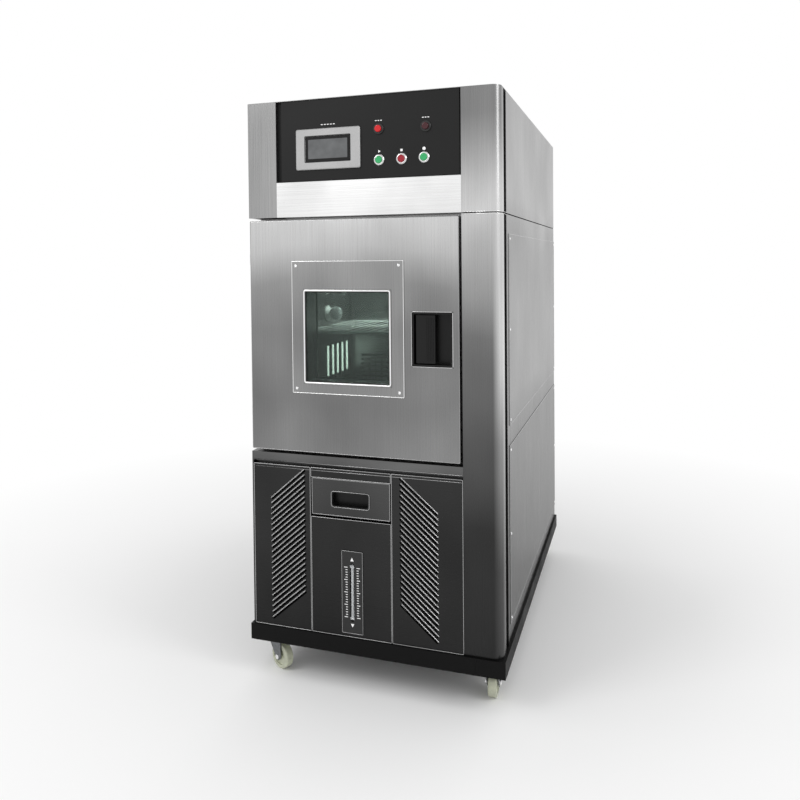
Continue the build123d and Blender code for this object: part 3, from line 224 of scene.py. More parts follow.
def calc(tree, operation, first, second):
    """A sum, product or other step between two values."""
    node = tree.nodes.new("ShaderNodeMath")
    node.operation = operation
    for socket, value in zip(node.inputs, (first, second)):
        if isinstance(value, (int, float)):
            socket.default_value = value
        else:
            tree.links.new(value, socket)
    return node.outputs["Value"]


def shade(tree, value, stops):
    """A colour ramp over the value, from (place, colour) stops."""
    ramp = tree.nodes.new("ShaderNodeValToRGB")
    elements = ramp.color_ramp.elements
    for element, (place, colour) in ((elements[0], stops[0]), (elements[-1], stops[-1])):
        element.position = place
        element.color = (*colour, 1)
    for place, colour in stops[1:-1]:
        elements.new(place).color = (*colour, 1)
    tree.links.new(value, ramp.inputs["Fac"])
    return ramp.outputs["Color"]


def tint(tree, colour, value, amount_low, amount_high):
    """The colour made darker or lighter by a value."""
    node = tree.nodes.new("ShaderNodeMix")
    node.data_type = "RGBA"
    node.blend_type = "MULTIPLY"
    node.inputs["Factor"].default_value = 1.0
    tree.links.new(colour, node.inputs["A"])
    grey = spread(tree, value, amount_low, amount_high)
    tree.links.new(grey, node.inputs["B"])
    return node.outputs["Result"]


def add_bump(tree, shader, height, strength, distance):
    """A bump on the shader from a height field."""
    bump = tree.nodes.new("ShaderNodeBump")
    bump.inputs["Strength"].default_value = strength
    bump.inputs["Distance"].default_value = distance
    tree.links.new(height, bump.inputs["Height"])
    tree.links.new(bump.outputs["Normal"], shader.inputs["Normal"])


def grey(value, warm=0.0):
    """A grey with a touch of warmth."""
    return (value * (1 + warm), value, value * (1 - warm))


def part_of(tree, coords, axis):
    """One coordinate."""
    split = tree.nodes.new("ShaderNodeSeparateXYZ")
    tree.links.new(coords, split.inputs["Vector"])
    return split.outputs[axis]


def blend_colours(tree, factor, first, second):
    """A colour between two, by a factor."""
    node = tree.nodes.new("ShaderNodeMix")
    node.data_type = "RGBA"
    tree.links.new(factor, node.inputs["Factor"])
    tree.links.new(first, node.inputs["A"])
    tree.links.new(second, node.inputs["B"])
    return node.outputs["Result"]


def brushed_steel(name, tones, right_tones=None, right_from=(0.0, 0.01), grain="Z", rough=(0.24, 0.36),
                  reflection_cloud_amount=0.06):
    """Brushed sheet: fine streaks along the grain, soft clouds of painted reflection, and painted light and shade as a
    tone that changes with height. The tones are pairs of height and grey; right tones, painted light on the right-hand
    part, take over between two places along X."""
    material, tree, shader, coords = start_material(name)
    fine = {"X": (4, 700, 1100), "Z": (1100, 700, 4)}[grain]
    streaks = noise(tree, coords, fine, 3.0, 0.55)
    # painted reflections: large soft clouds that shift the tone up and down
    reflection_clouds = noise(tree, coords, (3.1, 2.3, 2.2), 1.5)
    patches = noise(tree, coords, (5.0, 4.0, 3.0), 2.0)
    drift = calc(tree, "MULTIPLY", calc(tree, "SUBTRACT", reflection_clouds, 0.5), reflection_cloud_amount * 2)
    # painted light and shade: the grey follows the height
    height = calc(tree, "ADD", calc(tree, "DIVIDE", part_of(tree, coords, "Z"), ROOF_Z), drift)
    colour = shade(tree, height, [(z / ROOF_Z, grey(tone)) for z, tone in tones])
    # painted light on the right-hand part, from its own greys by height
    if right_tones:
        other = shade(tree, height, [(z / ROOF_Z, grey(tone)) for z, tone in right_tones])
        share = spread(tree, part_of(tree, coords, "X"), 0.0, 1.0, *right_from)
        colour = blend_colours(tree, share, colour, other)
    colour = tint(tree, colour, streaks, 0.95, 1.04)
    colour = tint(tree, colour, patches, 0.84, 1.14)
    tree.links.new(colour, shader.inputs["Base Color"])
    shader.inputs["Metallic"].default_value = 1.0
    tree.links.new(spread(tree, streaks, *rough), shader.inputs["Roughness"])
    add_bump(tree, shader, streaks, 0.06, 0.0003)
    return material


def split_finish(name, axis, place, below, above):
    """Two finishes in one material, parted at a place along an axis; each is colour, metallic and roughness."""
    material, tree, shader, coords = start_material(name)
    step = spread(tree, part_of(tree, coords, axis), 0.0, 1.0, place - 0.001, place + 0.001)
    skin = noise(tree, coords, 260, 2.0)
    colours = [shade(tree, skin, [(0.3, tuple(c * 0.88 for c in side[0])), (0.7, side[0])])
               for side in (below, above)]
    tree.links.new(blend_colours(tree, step, *colours), shader.inputs["Base Color"])
    tree.links.new(spread(tree, step, below[1], above[1], 0.0, 1.0), shader.inputs["Metallic"])
    tree.links.new(spread(tree, step, below[2], above[2], 0.0, 1.0), shader.inputs["Roughness"])
    add_bump(tree, shader, skin, 0.03, 0.0002)
    return material


def coated(name, colour, metallic=0.0, rough=(0.35, 0.5), speckle=500, bump=0.12, vary=(0.85, 1.12),
           gloss=0.5, through=0.0):
    """Paint or moulded plastic: a fine skin, faint colour drift and patches of other gloss."""
    material, tree, shader, coords = start_material(name)
    skin = noise(tree, coords, speckle, 2.0)
    patch = noise(tree, coords, 9, 3.0)
    base = shade(tree, patch, [(0.0, colour), (1.0, tuple(min(1, c * 1.15 + 0.002) for c in colour))])
    tree.links.new(tint(tree, base, skin, *vary), shader.inputs["Base Color"])
    shader.inputs["Metallic"].default_value = metallic
    shader.inputs["Specular IOR Level"].default_value = gloss
    shader.inputs["Transmission Weight"].default_value = through
    tree.links.new(spread(tree, patch, *rough), shader.inputs["Roughness"])
    add_bump(tree, shader, skin, bump, 0.0003)
    return material


def tinted_glass(name, colour, clear=0.9):
    """Tinted pane with faint wipe marks in its tint."""
    material, tree, shader, coords = start_material(name)
    wipe = noise(tree, coords, (14, 3, 5), 3.0)
    base = shade(tree, wipe, [(0.2, colour), (0.9, tuple(c * 1.12 for c in colour))])
    tree.links.new(base, shader.inputs["Base Color"])
    shader.inputs["Transmission Weight"].default_value = clear
    shader.inputs["IOR"].default_value = 1.15
    shader.inputs["Roughness"].default_value = 0.0
    return material


def lit(name, colour, strength):
    """A glowing face, painted light though it is no lamp: it glows a little less where its face is cloudy."""
    material, tree, shader, coords = start_material(name)
    cloud = noise(tree, coords, 30, 2.0)
    base = shade(tree, cloud, [(0.0, colour), (1.0, tuple(min(1, c * 1.1) for c in colour))])
    tree.links.new(base, shader.inputs["Base Color"])
    tree.links.new(base, shader.inputs["Emission Color"])
    shader.inputs["Emission Strength"].default_value = strength
    return material


FINISHES = {}


def finish(name):
    """A finish by name, made once."""
    if name not in FINISHES:
        maker, *given = MAKERS[name]
        options = given.pop() if isinstance(given[-1], dict) else {}
        FINISHES[name] = maker(name, *given, **options)
    return FINISHES[name]


# Painted light and shade on the stainless sheet: pairs of height and grey, lighter where light falls and darker where
# shade falls. The corner tones paint the highlight on the post's side return.
FRONT_LIGHT_TONES = ((0.65, 0.23), (0.80, 0.21), (1.0, 0.22), (1.12, 0.30), (1.22, 0.52), (1.33, 0.62))
SIDE_LIGHT_TONES = ((0.15, 0.05), (0.45, 0.065), (0.68, 0.10), (0.80, 0.22), (1.25, 0.29), (1.36, 0.42), (1.6, 0.36))
POST_LIGHT_TONES = ((0.15, 0.032), (0.50, 0.042), (0.78, 0.12), (1.0, 0.18), (1.15, 0.36), (1.30, 0.56),
              (1.36, 0.62), (1.6, 0.24))
CORNER_HIGHLIGHT_TONES = ((0.15, 0.07), (0.40, 0.09), (0.70, 0.30), (0.90, 0.60), (1.30, 0.62), (1.6, 0.55))
LEFT_HEAD_LIGHT_TONES = ((1.3, 0.36), (1.5, 0.32), (1.65, 0.26))
MAKERS = {
    # Stainless sheets: one steel, given lighter and darker greys part by part, which is painted light and shade.
    "front_sheet": (brushed_steel, FRONT_LIGHT_TONES),
    "plate_sheet": (brushed_steel, ((0.8, 0.30), (1.0, 0.24), (1.2, 0.34))),
    "side_sheet": (brushed_steel, SIDE_LIGHT_TONES),
    "post_sheet": (brushed_steel, POST_LIGHT_TONES, CORNER_HIGHLIGHT_TONES, (0.342, 0.360)),
    "pillar_sheet": (brushed_steel, LEFT_HEAD_LIGHT_TONES, ((1.32, 0.62), (1.42, 0.5), (1.6, 0.25))),
    "lower_sheet": (brushed_steel, ((0.1, 0.028), (0.6, 0.036)), {"grain": "X"}),
    "drawer_sheet": (brushed_steel, ((0.47, 0.055), (0.6, 0.075)), {"grain": "X"}),
    "strip_sheet": (brushed_steel, ((0.6, 0.10), (0.66, 0.14)), {"grain": "X"}),
    "head_sheet": (brushed_steel, ((1.3, 0.80), (1.42, 0.86)), {"grain": "X"}),
    "liner_sheet": (brushed_steel, ((0.7, 0.30), (1.25, 0.42)), {"grain": "X"}),
    "edge_steel": (coated, grey(0.34), 1.0, (0.2, 0.32), 700, 0.03, (0.9, 1.1)),
    "bright_steel": (coated, grey(0.86), 1.0, (0.1, 0.2), 700, 0.03, (0.95, 1.03)),
    "zinc_plate": (coated, grey(0.16, -0.04), 1.0, (0.22, 0.4), 160, 0.06, (0.8, 1.2)),
    "black_paint": (coated, grey(0.002), 0.0, (0.45, 0.6), 350, 0.15, {"gloss": 0.12}),
    "panel_black": (coated, grey(0.006), 0.0, (0.4, 0.55), 600, 0.1, {"gloss": 0.25}),
    "black_plastic": (coated, grey(0.004), 0.0, (0.3, 0.45), 800, 0.12, {"gloss": 0.25}),
    "silver_plastic": (coated, grey(0.40), 0.3, (0.3, 0.42), 900, 0.06),
    "grey_screen": (coated, grey(0.105, -0.03), 0.0, (0.08, 0.16), 30, 0.0, (0.85, 1.2)),
    "pale_wheel": (coated, (0.62, 0.64, 0.50), 0.0, (0.12, 0.3), 60, 0.05, {"through": 0.35}),
    "white_plastic": (coated, grey(0.7), 0.0, (0.3, 0.45), 500, 0.05),
    "white_ink": (coated, grey(0.85), 0.0, (0.4, 0.5), 900, 0.02, (0.95, 1.0)),
    "silicone": (coated, grey(0.02), 0.0, (0.5, 0.65), 300, 0.1, {"gloss": 0.2}),
    # black mat behind the louvres: painted shade in the slots
    "filter_mat": (coated, grey(0.003), 0.0, (0.8, 0.95), 900, 0.6, {"gloss": 0.02}),
    "foam": (coated, (0.75, 0.68, 0.42), 0.0, (0.8, 0.9), 240, 0.5),
    "mill_aluminium": (coated, grey(0.6), 1.0, (0.3, 0.45), (80, 500, 80), 0.06),
    "cast_black": (coated, grey(0.02), 0.0, (0.4, 0.6), 220, 0.3),
    "green_cap": (coated, (0.03, 0.36, 0.12), 0.0, (0.12, 0.2), 300, 0.02),
    "red_cap": (coated, (0.30, 0.008, 0.02), 0.0, (0.12, 0.2), 300, 0.02),
    "lamp_lenses": (split_finish, "X", 0.1, ((0.62, 0.01, 0.015), 0.0, 0.15), ((0.05, 0.006, 0.01), 0.0, 0.12)),
    "ring_finish": (split_finish, "Z", 1.51, (grey(0.72), 1.0, 0.18), (grey(0.01), 0.0, 0.4)),
    "gauge_black": (coated, grey(0.004), 0.0, (0.35, 0.5), 300, 0.03),
    "shelf_wire": (coated, grey(0.9), 0.15, (0.2, 0.3), (400, 60, 400), 0.03),
    "tinted_pane": (tinted_glass, (0.40, 0.46, 0.43), 0.95),
    "clear_tube": (tinted_glass, (0.85, 0.87, 0.88), 0.6),
    # painted glow of the wall's slots
    "warm_lamp": (lit, (0.85, 0.90, 0.86), 2.6),
}

NODE_FINISHES = {
    "front_sheet": ["door_outer_skin"],
    "plate_sheet": ["window_frame"],
    "side_sheet": ["right_side_frame", "right_access_panels", "head_shell", "rear_covers", "left_side_panel"],
    "post_sheet": ["right_front_post"],
    "pillar_sheet": ["head_pillars"],
    "strip_sheet": ["under_door_strip"],
    "lower_sheet": ["louvre_panels", "centre_panel"],
    "drawer_sheet": ["drawer_front"],
    "head_sheet": ["head_strip"],
    "liner_sheet": ["cavity_liner", "air_duct_panel", "door_inner_skin", "tank_cradle", "humidifier"],
    "bright_steel": ["sensor_probes", "hinge_fixed_leaves", "hinge_door_leaves", "rear_outlets"],
    "ring_finish": ["panel_rings"],
    "zinc_plate": ["caster_plates", "latch_bolt"] + [f"caster_fork_{corner}" for corner in CORNERS],
    "black_paint": ["base_plinth"],
    "panel_black": ["control_panel"],
    "black_plastic": ["handle_cup", "handle_lever", "drawer_pull", "condenser_fan", "controller_screen"],
    "silver_plastic": ["controller_bezel", "electrical_panel"],
    "pale_wheel": [f"caster_wheel_{corner}" for corner in CORNERS],
    "white_plastic": ["water_tank"],
    "silicone": ["door_gasket"],
    "gauge_black": ["gauge_plate"],
    "shelf_wire": ["wire_shelf"],
    "foam": ["insulation", "door_foam"],
    "mill_aluminium": ["coil_and_heater", "circulation_fan", "condenser_unit"],
    "cast_black": ["fan_motor", "compressor"],
    "green_cap": ["run_button", "light_button"],
    "red_cap": ["stop_button"],
    "lamp_lenses": ["indicator_lenses"],
    "tinted_pane": ["window_glass"],
    "clear_tube": ["sight_tube"],
}


class ChamberLook(bpy.types.PropertyGroup):
    """Small sizes of the chamber's dressing, and the stage."""
    lip: bpy.props.FloatProperty(
        name="Louvre lip", description="Radius of a lip's crest", default=0.0007, unit="LENGTH")
    lip_width: bpy.props.FloatProperty(
        name="Lip width", description="Across a lip's crest", default=0.0012, unit="LENGTH")
    lip_rise: bpy.props.FloatProperty(
        name="Lip rise", description="From a slot's middle to its lip", default=0.0046, unit="LENGTH")
    bead: bpy.props.FloatProperty(
        name="Edge bead", description="Radius of a panel's polished edge", default=0.0011, unit="LENGTH")
    seal: bpy.props.FloatProperty(
        name="Window seal", description="Radius of the seal", default=0.002, unit="LENGTH")
    screw: bpy.props.FloatProperty(
        name="Screw head", description="Radius of a screw's head", default=0.0042, unit="LENGTH")
    screw_inset: bpy.props.FloatProperty(
        name="Screw inset", description="From a plate's edge to its screws", default=0.014, unit="LENGTH")
    bolt: bpy.props.FloatProperty(
        name="Bolt head", description="Radius of an axle bolt's head", default=0.0075, unit="LENGTH")
    fork_half: bpy.props.FloatProperty(
        name="Fork half width", description="From a wheel's middle to its fork's face", default=0.0175, unit="LENGTH")
    louvre_run: bpy.props.FloatProperty(
        name="Louvre run", description="A louvre's width", default=0.106, unit="LENGTH")
    louvre_rise: bpy.props.FloatProperty(
        name="Louvre rise", description="A louvre's height", default=0.091, unit="LENGTH")
    louvre_pitch: bpy.props.FloatProperty(
        name="Louvre pitch", description="From one to the next", default=0.0158, unit="LENGTH")
    louvre_count: bpy.props.IntProperty(
        name="Louvres", description="Louvres on a panel", default=23)
    louvre_foot: bpy.props.FloatProperty(
        name="Louvre foot", description="From the panel's foot to the lowest", default=0.0197, unit="LENGTH")
    louvre_left: bpy.props.FloatProperty(
        name="Left louvres", description="Where the left ones start", default=-0.3032, unit="LENGTH")
    louvre_right: bpy.props.FloatProperty(
        name="Right louvres", description="Where the right ones start", default=0.083, unit="LENGTH")
    strip_height: bpy.props.FloatProperty(
        name="Strip height", description="Of the strip under the door", default=0.020, unit="LENGTH")
    sill: bpy.props.FloatProperty(
        name="Sill gap", description="Under the drawer's front", default=0.006, unit="LENGTH")
    glass_x: bpy.props.FloatVectorProperty(
        name="Glass across", description="Its sides", size=2, default=(-0.189, 0.059), unit="LENGTH")
    glass_z: bpy.props.FloatVectorProperty(
        name="Glass up", description="Its foot and head", size=2, default=(0.859, 1.112), unit="LENGTH")
    plate_bead: bpy.props.FloatProperty(
        name="Plate edge", description="From the plate's edge to its bead", default=0.0015, unit="LENGTH")
    plate_proud: bpy.props.FloatProperty(
        name="Plate proud", description="How far it stands out", default=0.003, unit="LENGTH")
    trim_proud: bpy.props.FloatProperty(
        name="Trim proud", description="How far it stands out", default=0.006, unit="LENGTH")
    panel_split: bpy.props.FloatProperty(
        name="Side split", description="Top of the lower side panel", default=0.687, unit="LENGTH")
    panel_gap: bpy.props.FloatProperty(
        name="Side gap", description="Between the side panels", default=0.055, unit="LENGTH")
    trim_width: bpy.props.FloatProperty(
        name="Trim width", description="Round the glass", default=0.0065, unit="LENGTH")
    seam: bpy.props.FloatProperty(
        name="Head seam", description="Under the head", default=0.003, unit="LENGTH")
    post_radius: bpy.props.FloatProperty(
        name="Post corner", description="Radius of the post's corner", default=0.025, unit="LENGTH")
    ticks: bpy.props.IntProperty(
        name="Ticks", description="Ticks on each side of the gauge", default=21)
    ring_radius: bpy.props.FloatProperty(
        name="Ring", description="Radius of a button's ring", default=0.015, unit="LENGTH")
    cap_radius: bpy.props.FloatProperty(
        name="Cap", description="Radius of a button or lens", default=0.0095, unit="LENGTH")
    display_margin: bpy.props.FloatProperty(
        name="Display margin", description="Round the display", default=0.008, unit="LENGTH")
    cavity_x: bpy.props.FloatVectorProperty(
        name="Cavity across", description="Its walls", size=2, default=(-0.2545, 0.1455), unit="LENGTH")
    slot_y: bpy.props.FloatVectorProperty(
        name="Wall slots along", description="First and last slot", size=2, default=(-0.289, -0.127), unit="LENGTH")
    slot_z: bpy.props.FloatVectorProperty(
        name="Wall slots up", description="Their foot and head", size=2, default=(0.826, 0.923), unit="LENGTH")
    bulb_y: bpy.props.FloatProperty(
        name="Lamp along", description="Where the lamp is", default=-0.294, unit="LENGTH")
    bulb_z: bpy.props.FloatProperty(
        name="Lamp up", description="Where the lamp is", default=1.03, unit="LENGTH")
    channel_y: bpy.props.FloatProperty(
        name="Groove floor", description="Behind the post", default=-0.511, unit="LENGTH")
    ambient: bpy.props.FloatProperty(
        name="Surround light", description="What the surround gives off", default=0.9)
    eye: bpy.props.FloatVectorProperty(
        name="Camera", description="Where the photo was taken from", size=3, default=(0.7157, -2.5343, 1.1970), unit="LENGTH")
    yaw: bpy.props.FloatProperty(name="Yaw", description="Camera's turn, degrees", default=18.415)
    pitch: bpy.props.FloatProperty(
        name="Pitch", description="Camera's tilt, degrees", default=-1.351)
    roll: bpy.props.FloatProperty(name="Roll", description="Camera's roll, degrees", default=-0.531)
    lens_mm: bpy.props.FloatProperty(name="Lens", description="Focal length", default=33.99)
    shift_x: bpy.props.FloatProperty(name="Shift across", description="Lens shift", default=0.009)
    shift_y: bpy.props.FloatProperty(name="Shift up", description="Lens shift", default=-0.152)


def look():
    """The scene's own copy of the look's values."""
    return bpy.context.scene.chamber_look


def span_outline(low, high, radius=0.002):
    """The rounded outline between a low and a high corner, each as (across, up)."""
    outline = rounded_outline(high[0] - low[0], high[1] - low[1], radius)
    return outline + np.array([(low[0] + high[0]) / 2, (low[1] + high[1]) / 2])


def inset_outline(low, high, inset, radius=0.002):
    """The rounded outline of a box's front, drawn in by the inset."""
    return span_outline((low[0] + inset, low[2] + inset), (high[0] - inset, high[2] - inset), radius)


class CHAMBER_OT_finishes(bpy.types.Operator):
    """Give every CAD node its finish."""
    bl_idname = "chamber.finishes"
    bl_label = "Finishes"

    def execute(self, context):
        dressed = set()
        for name, nodes in NODE_FINISHES.items():
            for node in nodes:
                data = frame["nodes"][node].data
                data.materials.clear()
                data.materials.append(finish(name))
                dressed.add(node)
        left_bare = set(frame["nodes"]) - dressed
        if left_bare:
            raise RuntimeError(f"nodes without a finish: {sorted(left_bare)}")
        return {"FINISHED"}


def corners(node):
    """The low and high corner of a CAD node as arrays."""
    return tuple(np.array(corner, float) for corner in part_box(node))


class CHAMBER_OT_louvre_lips(bpy.types.Operator):
    """Polished crests on the lips over every slanting slot, which lean towards each other, and black mats behind that
    paint the shade seen through the slots.
    """
    bl_idname = "chamber.louvre_lips"
    bl_label = "Louvre lips"

    def execute(self, context):
        values = look()
        low = corners("louvre_panels")[0]
        run, rise, pitch, count = values.louvre_run, values.louvre_rise, values.louvre_pitch, values.louvre_count
        foot = low[2] + values.louvre_foot
        outlines = []
        for start, lean in ((values.louvre_left, 1), (values.louvre_right, -1)):
            slant = math.atan2(rise, run)
            lift = values.lip_rise * np.array([-lean * math.sin(slant), math.cos(slant)])
            outline = slot_outline(math.hypot(run, rise) - 0.002, values.lip_width, lean * slant) + lift
            for n in range(count):
                outlines.append(outline + np.array([start + run / 2, foot + rise / 2 + n * pitch]))
        front_beads("louvre_lips", outlines, values.lip, low[1] + values.lip, "chamber",
                    finish("bright_steel"))
        # black mats behind the slots: painted shade
        spans = []
        for start in (values.louvre_left, values.louvre_right):
            spans.append(((start - 0.01, low[1] + 0.0050, foot - 0.008),
                          (start + run + 0.01, low[1] + 0.0090, foot + rise + pitch * (count - 1) + 0.008)))
        boxes("filter_shade_mats", spans, "chamber", finish("filter_mat"))
        return {"FINISHED"}


class CHAMBER_OT_edge_beads(bpy.types.Operator):
    """Polished folded edges: beads round the panels of the lower front, the drawer, the strip, the door and the gauge
    plate, and ribs on the lever.
    """
    bl_idname = "chamber.edge_beads"
    bl_label = "Edge beads"

    def execute(self, context):
        values = look()
        bead = values.bead
        low, high = corners("louvre_panels")
        centre_low, centre_high = corners("centre_panel")
        drawer_low, drawer_high = corners("drawer_front")
        half = bead * 1.2
        spans = [
            ((low[0] + half, low[2] + half), (centre_low[0] - half, high[2] - half)),
            ((centre_high[0] + half, low[2] + half), (high[0] - half, high[2] - half)),
            ((centre_low[0] + half, centre_low[2] + half),
             (centre_high[0] - half, drawer_low[2] - values.sill - half)),
            ((centre_low[0] + half, drawer_high[2] + half), (centre_high[0] - half, centre_high[2] - half)),
        ]
        outlines = [span_outline(a, b) for a, b in spans]
        front_beads("lower_panel_edges", outlines, bead, low[1] + bead * 0.5, "chamber",
                    finish("edge_steel"))
        edge = inset_outline(drawer_low, drawer_high, half)
        front_beads("drawer_edge", [edge], bead, drawer_low[1] + bead * 0.5, "drawer",
                    finish("edge_steel"))
        pull_low, pull_high = corners("drawer_pull")
        rim = inset_outline(pull_low, pull_high, half, 0.007)
        front_beads("drawer_pull_rim", [rim], bead, pull_low[1] + bead * 0.2, "drawer",
                    finish("edge_steel"))
        door_low, door_high = corners("door_outer_skin")
        edge = inset_outline(door_low, door_high, half, 0.003)
        front_beads("door_edge", [edge], bead, door_low[1] + bead * 0.5, "door",
                    finish("edge_steel"))
        strip_low, strip_high = corners("under_door_strip")
        heights = (("strip_foot_edge", strip_low[2] + half), ("strip_head_edge", strip_low[2] + values.strip_height))
        for name, z in heights:
            level_tube(name, [(strip_low[0] + half, strip_low[1], z), (0.0, strip_low[1], z),
                              (strip_high[0] - half, strip_low[1], z)], bead * 0.8, "chamber",
                       finish("edge_steel"))
        lever_low, lever_high = corners("handle_lever")
        ribs = [((x - 0.0008, lever_low[1] - 0.0009, lever_low[2] + 0.012),
                 (x + 0.0008, lever_low[1] + 0.001, lever_high[2] - 0.012))
                for x in np.linspace(lever_high[0] - 0.024, lever_high[0] - 0.006, 5)]
        boxes("lever_ribs", ribs, "door_lever", finish("black_plastic"))
        gauge_low, gauge_high = corners("gauge_plate")
        edge = inset_outline(gauge_low, gauge_high, half)
        front_beads("gauge_rim", [edge], bead * 0.7, gauge_low[1] + bead * 0.2, "chamber",
                    finish("edge_steel"))
        return {"FINISHED"}


class CHAMBER_OT_window(bpy.types.Operator):
    """The window: a black seal line inside the bright trim, and a pressed bead round the plate."""
    bl_idname = "chamber.window"
    bl_label = "Window"

    def execute(self, context):
        values = look()
        glass_face = corners("window_glass")[0][1]
        plate_low, plate_high = corners("window_frame")
        seal = span_outline((values.glass_x[0], values.glass_z[0]), (values.glass_x[1], values.glass_z[1]), 0.004)
        front_beads("window_seal", [seal], values.seal, glass_face - values.seal * 0.5, "door",
                    finish("silicone"))
        half = values.trim_width / 2
        trim = span_outline((values.glass_x[0] - half, values.glass_z[0] - half),
                            (values.glass_x[1] + half, values.glass_z[1] + half), 0.005)
        front_beads("window_trim_polish", [trim], half * 0.8, plate_low[1] + half * 0.55, "door",
                    finish("bright_steel"), sides=12)
        cup_low, cup_high = corners("handle_cup")
        rim = inset_outline(cup_low, cup_high, values.bead, 0.003)
        front_beads("handle_rim", [rim], values.bead, cup_low[1] + values.bead * 0.9, "door",
                    finish("bright_steel"))
        groove = inset_outline(plate_low, plate_high, values.plate_bead)
        plate_face = plate_low[1] + values.trim_proud - values.plate_proud
        front_beads("window_plate_edge", [groove], values.bead, plate_face + values.bead * 0.5, "door",
                    finish("bright_steel"))
        return {"FINISHED"}


SCREW_PROFILE = np.array([
    (0.02, -0.1), (0.9, -0.1), (1.0, 0.05), (0.97, 0.2), (0.85, 0.34), (0.66, 0.43), (0.5, 0.46), (0.42, 0.44),
    (0.36, 0.38), (0.3, 0.1), (0.1, 0.06), (0.02, 0.05)])
HEX_PROFILE = np.array([
    (0.02, -0.2), (0.95, -0.2), (1.0, -0.12), (1.0, 0.5), (0.94, 0.6), (0.8, 0.64), (0.6, 0.58), (0.2, 0.56),
    (0.02, 0.56)])


class CHAMBER_OT_screws(bpy.types.Operator):
    """Pan-head screws with a round socket, and hexagon bolts at the casters' axles."""
    bl_idname = "chamber.screws"
    bl_label = "Screws and bolts"

    def execute(self, context):
        values = look()
        r = values.screw
        low, high = corners("window_frame")
        face = low[1] + values.trim_proud - values.plate_proud
        inset = values.screw_inset
        places = [(x, face, z) for x in (low[0] + inset, high[0] - inset)
                  for z in (low[2] + inset, high[2] - inset)]
        revolved("window_screws", places, (0, -1, 0), SCREW_PROFILE * r, "door", finish("bright_steel"))
        low, high = corners("right_access_panels")
        split = (values.panel_split, values.panel_split + values.panel_gap)
        rows = (low[2] + inset, (low[2] + split[0]) / 2, split[0] - inset, split[1] + inset,
                (split[1] + high[2]) / 2, high[2] - inset)
        places = [(high[0], y, z) for y in (low[1] + inset, high[1] - inset) for z in rows]
        revolved("side_screws", places, (1, 0, 0), SCREW_PROFILE * r, "chamber", finish("bright_steel"))
        low, high = corners("rear_covers")
        places = [(x, high[1], z) for x in (low[0] + inset, high[0] - inset)
                  for z in np.linspace(low[2] + inset, high[2] - inset, 5)]
        revolved("rear_screws", places, (0, 1, 0), SCREW_PROFILE * r, "chamber", finish("bright_steel"))
        for corner in CORNERS:
            wheel_low, wheel_high = corners(f"caster_wheel_{corner}")
            joint = next(j for j in frame["joints"] if j["name"] == f"roll_{corner}")
            axis = np.array(joint["axis"], float)
            centre = (wheel_low + wheel_high) / 2
            for side in (-1, 1):
                revolved(f"axle_bolt_{corner}_{'a' if side < 0 else 'b'}", [centre + axis * side * values.fork_half],
                         axis * side, HEX_PROFILE * values.bolt, f"fork_{corner}", finish("bright_steel"),
                         sides=6, smooth=False)
        return {"FINISHED"}


class CHAMBER_OT_marks(bpy.types.Operator):
    """Generic marks: level ticks and two arrows on the gauge plate; a triangle, a square, a dot and bars by the
    controls."""
    bl_idname = "chamber.marks"
    bl_label = "Marks"

    def execute(self, context):
        values = look()
        gauge_face = corners("gauge_plate")[0][1]
        tube_low, tube_high = corners("sight_tube")
        ink = finish("white_ink")
        centre = (tube_low[0] + tube_high[0]) / 2
        foot, rise = tube_low[2], tube_high[2] - tube_low[2]
        ticks = []
        for n in range(values.ticks):
            long = TICK_LONG if n % 5 == 0 else TICK_SHORT
            z = foot + rise * (0.04 + 0.92 * n / (values.ticks - 1))
            for side in (-1, 1):
                x = centre + side * (TICK_CLEAR + long / 2)
                ticks.append(rounded_outline(long, TICK_WIDTH, 0.0004, 2) + np.array([x, z]))
        for side in (-1, 1):
            z = (tube_low[2] if side < 0 else tube_high[2]) + side * 0.016
            tip = np.array([(0, 0.006), (-0.005, -0.004), (0.005, -0.004)]) * (1, side)
            ticks.append((tip if side > 0 else tip[::-1]) + np.array([centre, z]))
        front_plates("gauge_marks", ticks, gauge_face + MARK_SHEET, gauge_face - MARK_SHEET, "chamber", ink)
        face = corners("control_panel")[0][1]
        marks = []
        above = values.ring_radius + 0.008
        for node, shape in (("run_button", 3), ("stop_button", 4), ("light_button", 24)):
            a, b = corners(node)
            turn = np.arange(shape) * 2 * math.pi / shape + (math.pi / 4 if shape == 4 else 0)
            marks.append(0.0045 * np.stack([np.cos(turn), np.sin(turn)], axis=-1)
                         + np.array([(a[0] + b[0]) / 2, (a[2] + b[2]) / 2 + above]))
        a, b = corners("indicator_lenses")
        for x in (a[0] + values.cap_radius, b[0] - values.cap_radius):
            for step in (-1, 0, 1):
                marks.append(rounded_outline(0.005, MARK_BAR, 0.0006, 2)
                             + np.array([x + step * 0.0075, (a[2] + b[2]) / 2 + above]))
        a, b = corners("controller_bezel")
        for step in range(5):
            marks.append(rounded_outline(0.006, MARK_BAR, 0.0006, 2)
                         + np.array([(a[0] + b[0]) / 2 + (step - 2) * 0.009, b[2] + 0.011]))
        front_plates("panel_marks", marks, face + MARK_SHEET, face - MARK_SHEET, "chamber", ink)
        return {"FINISHED"}


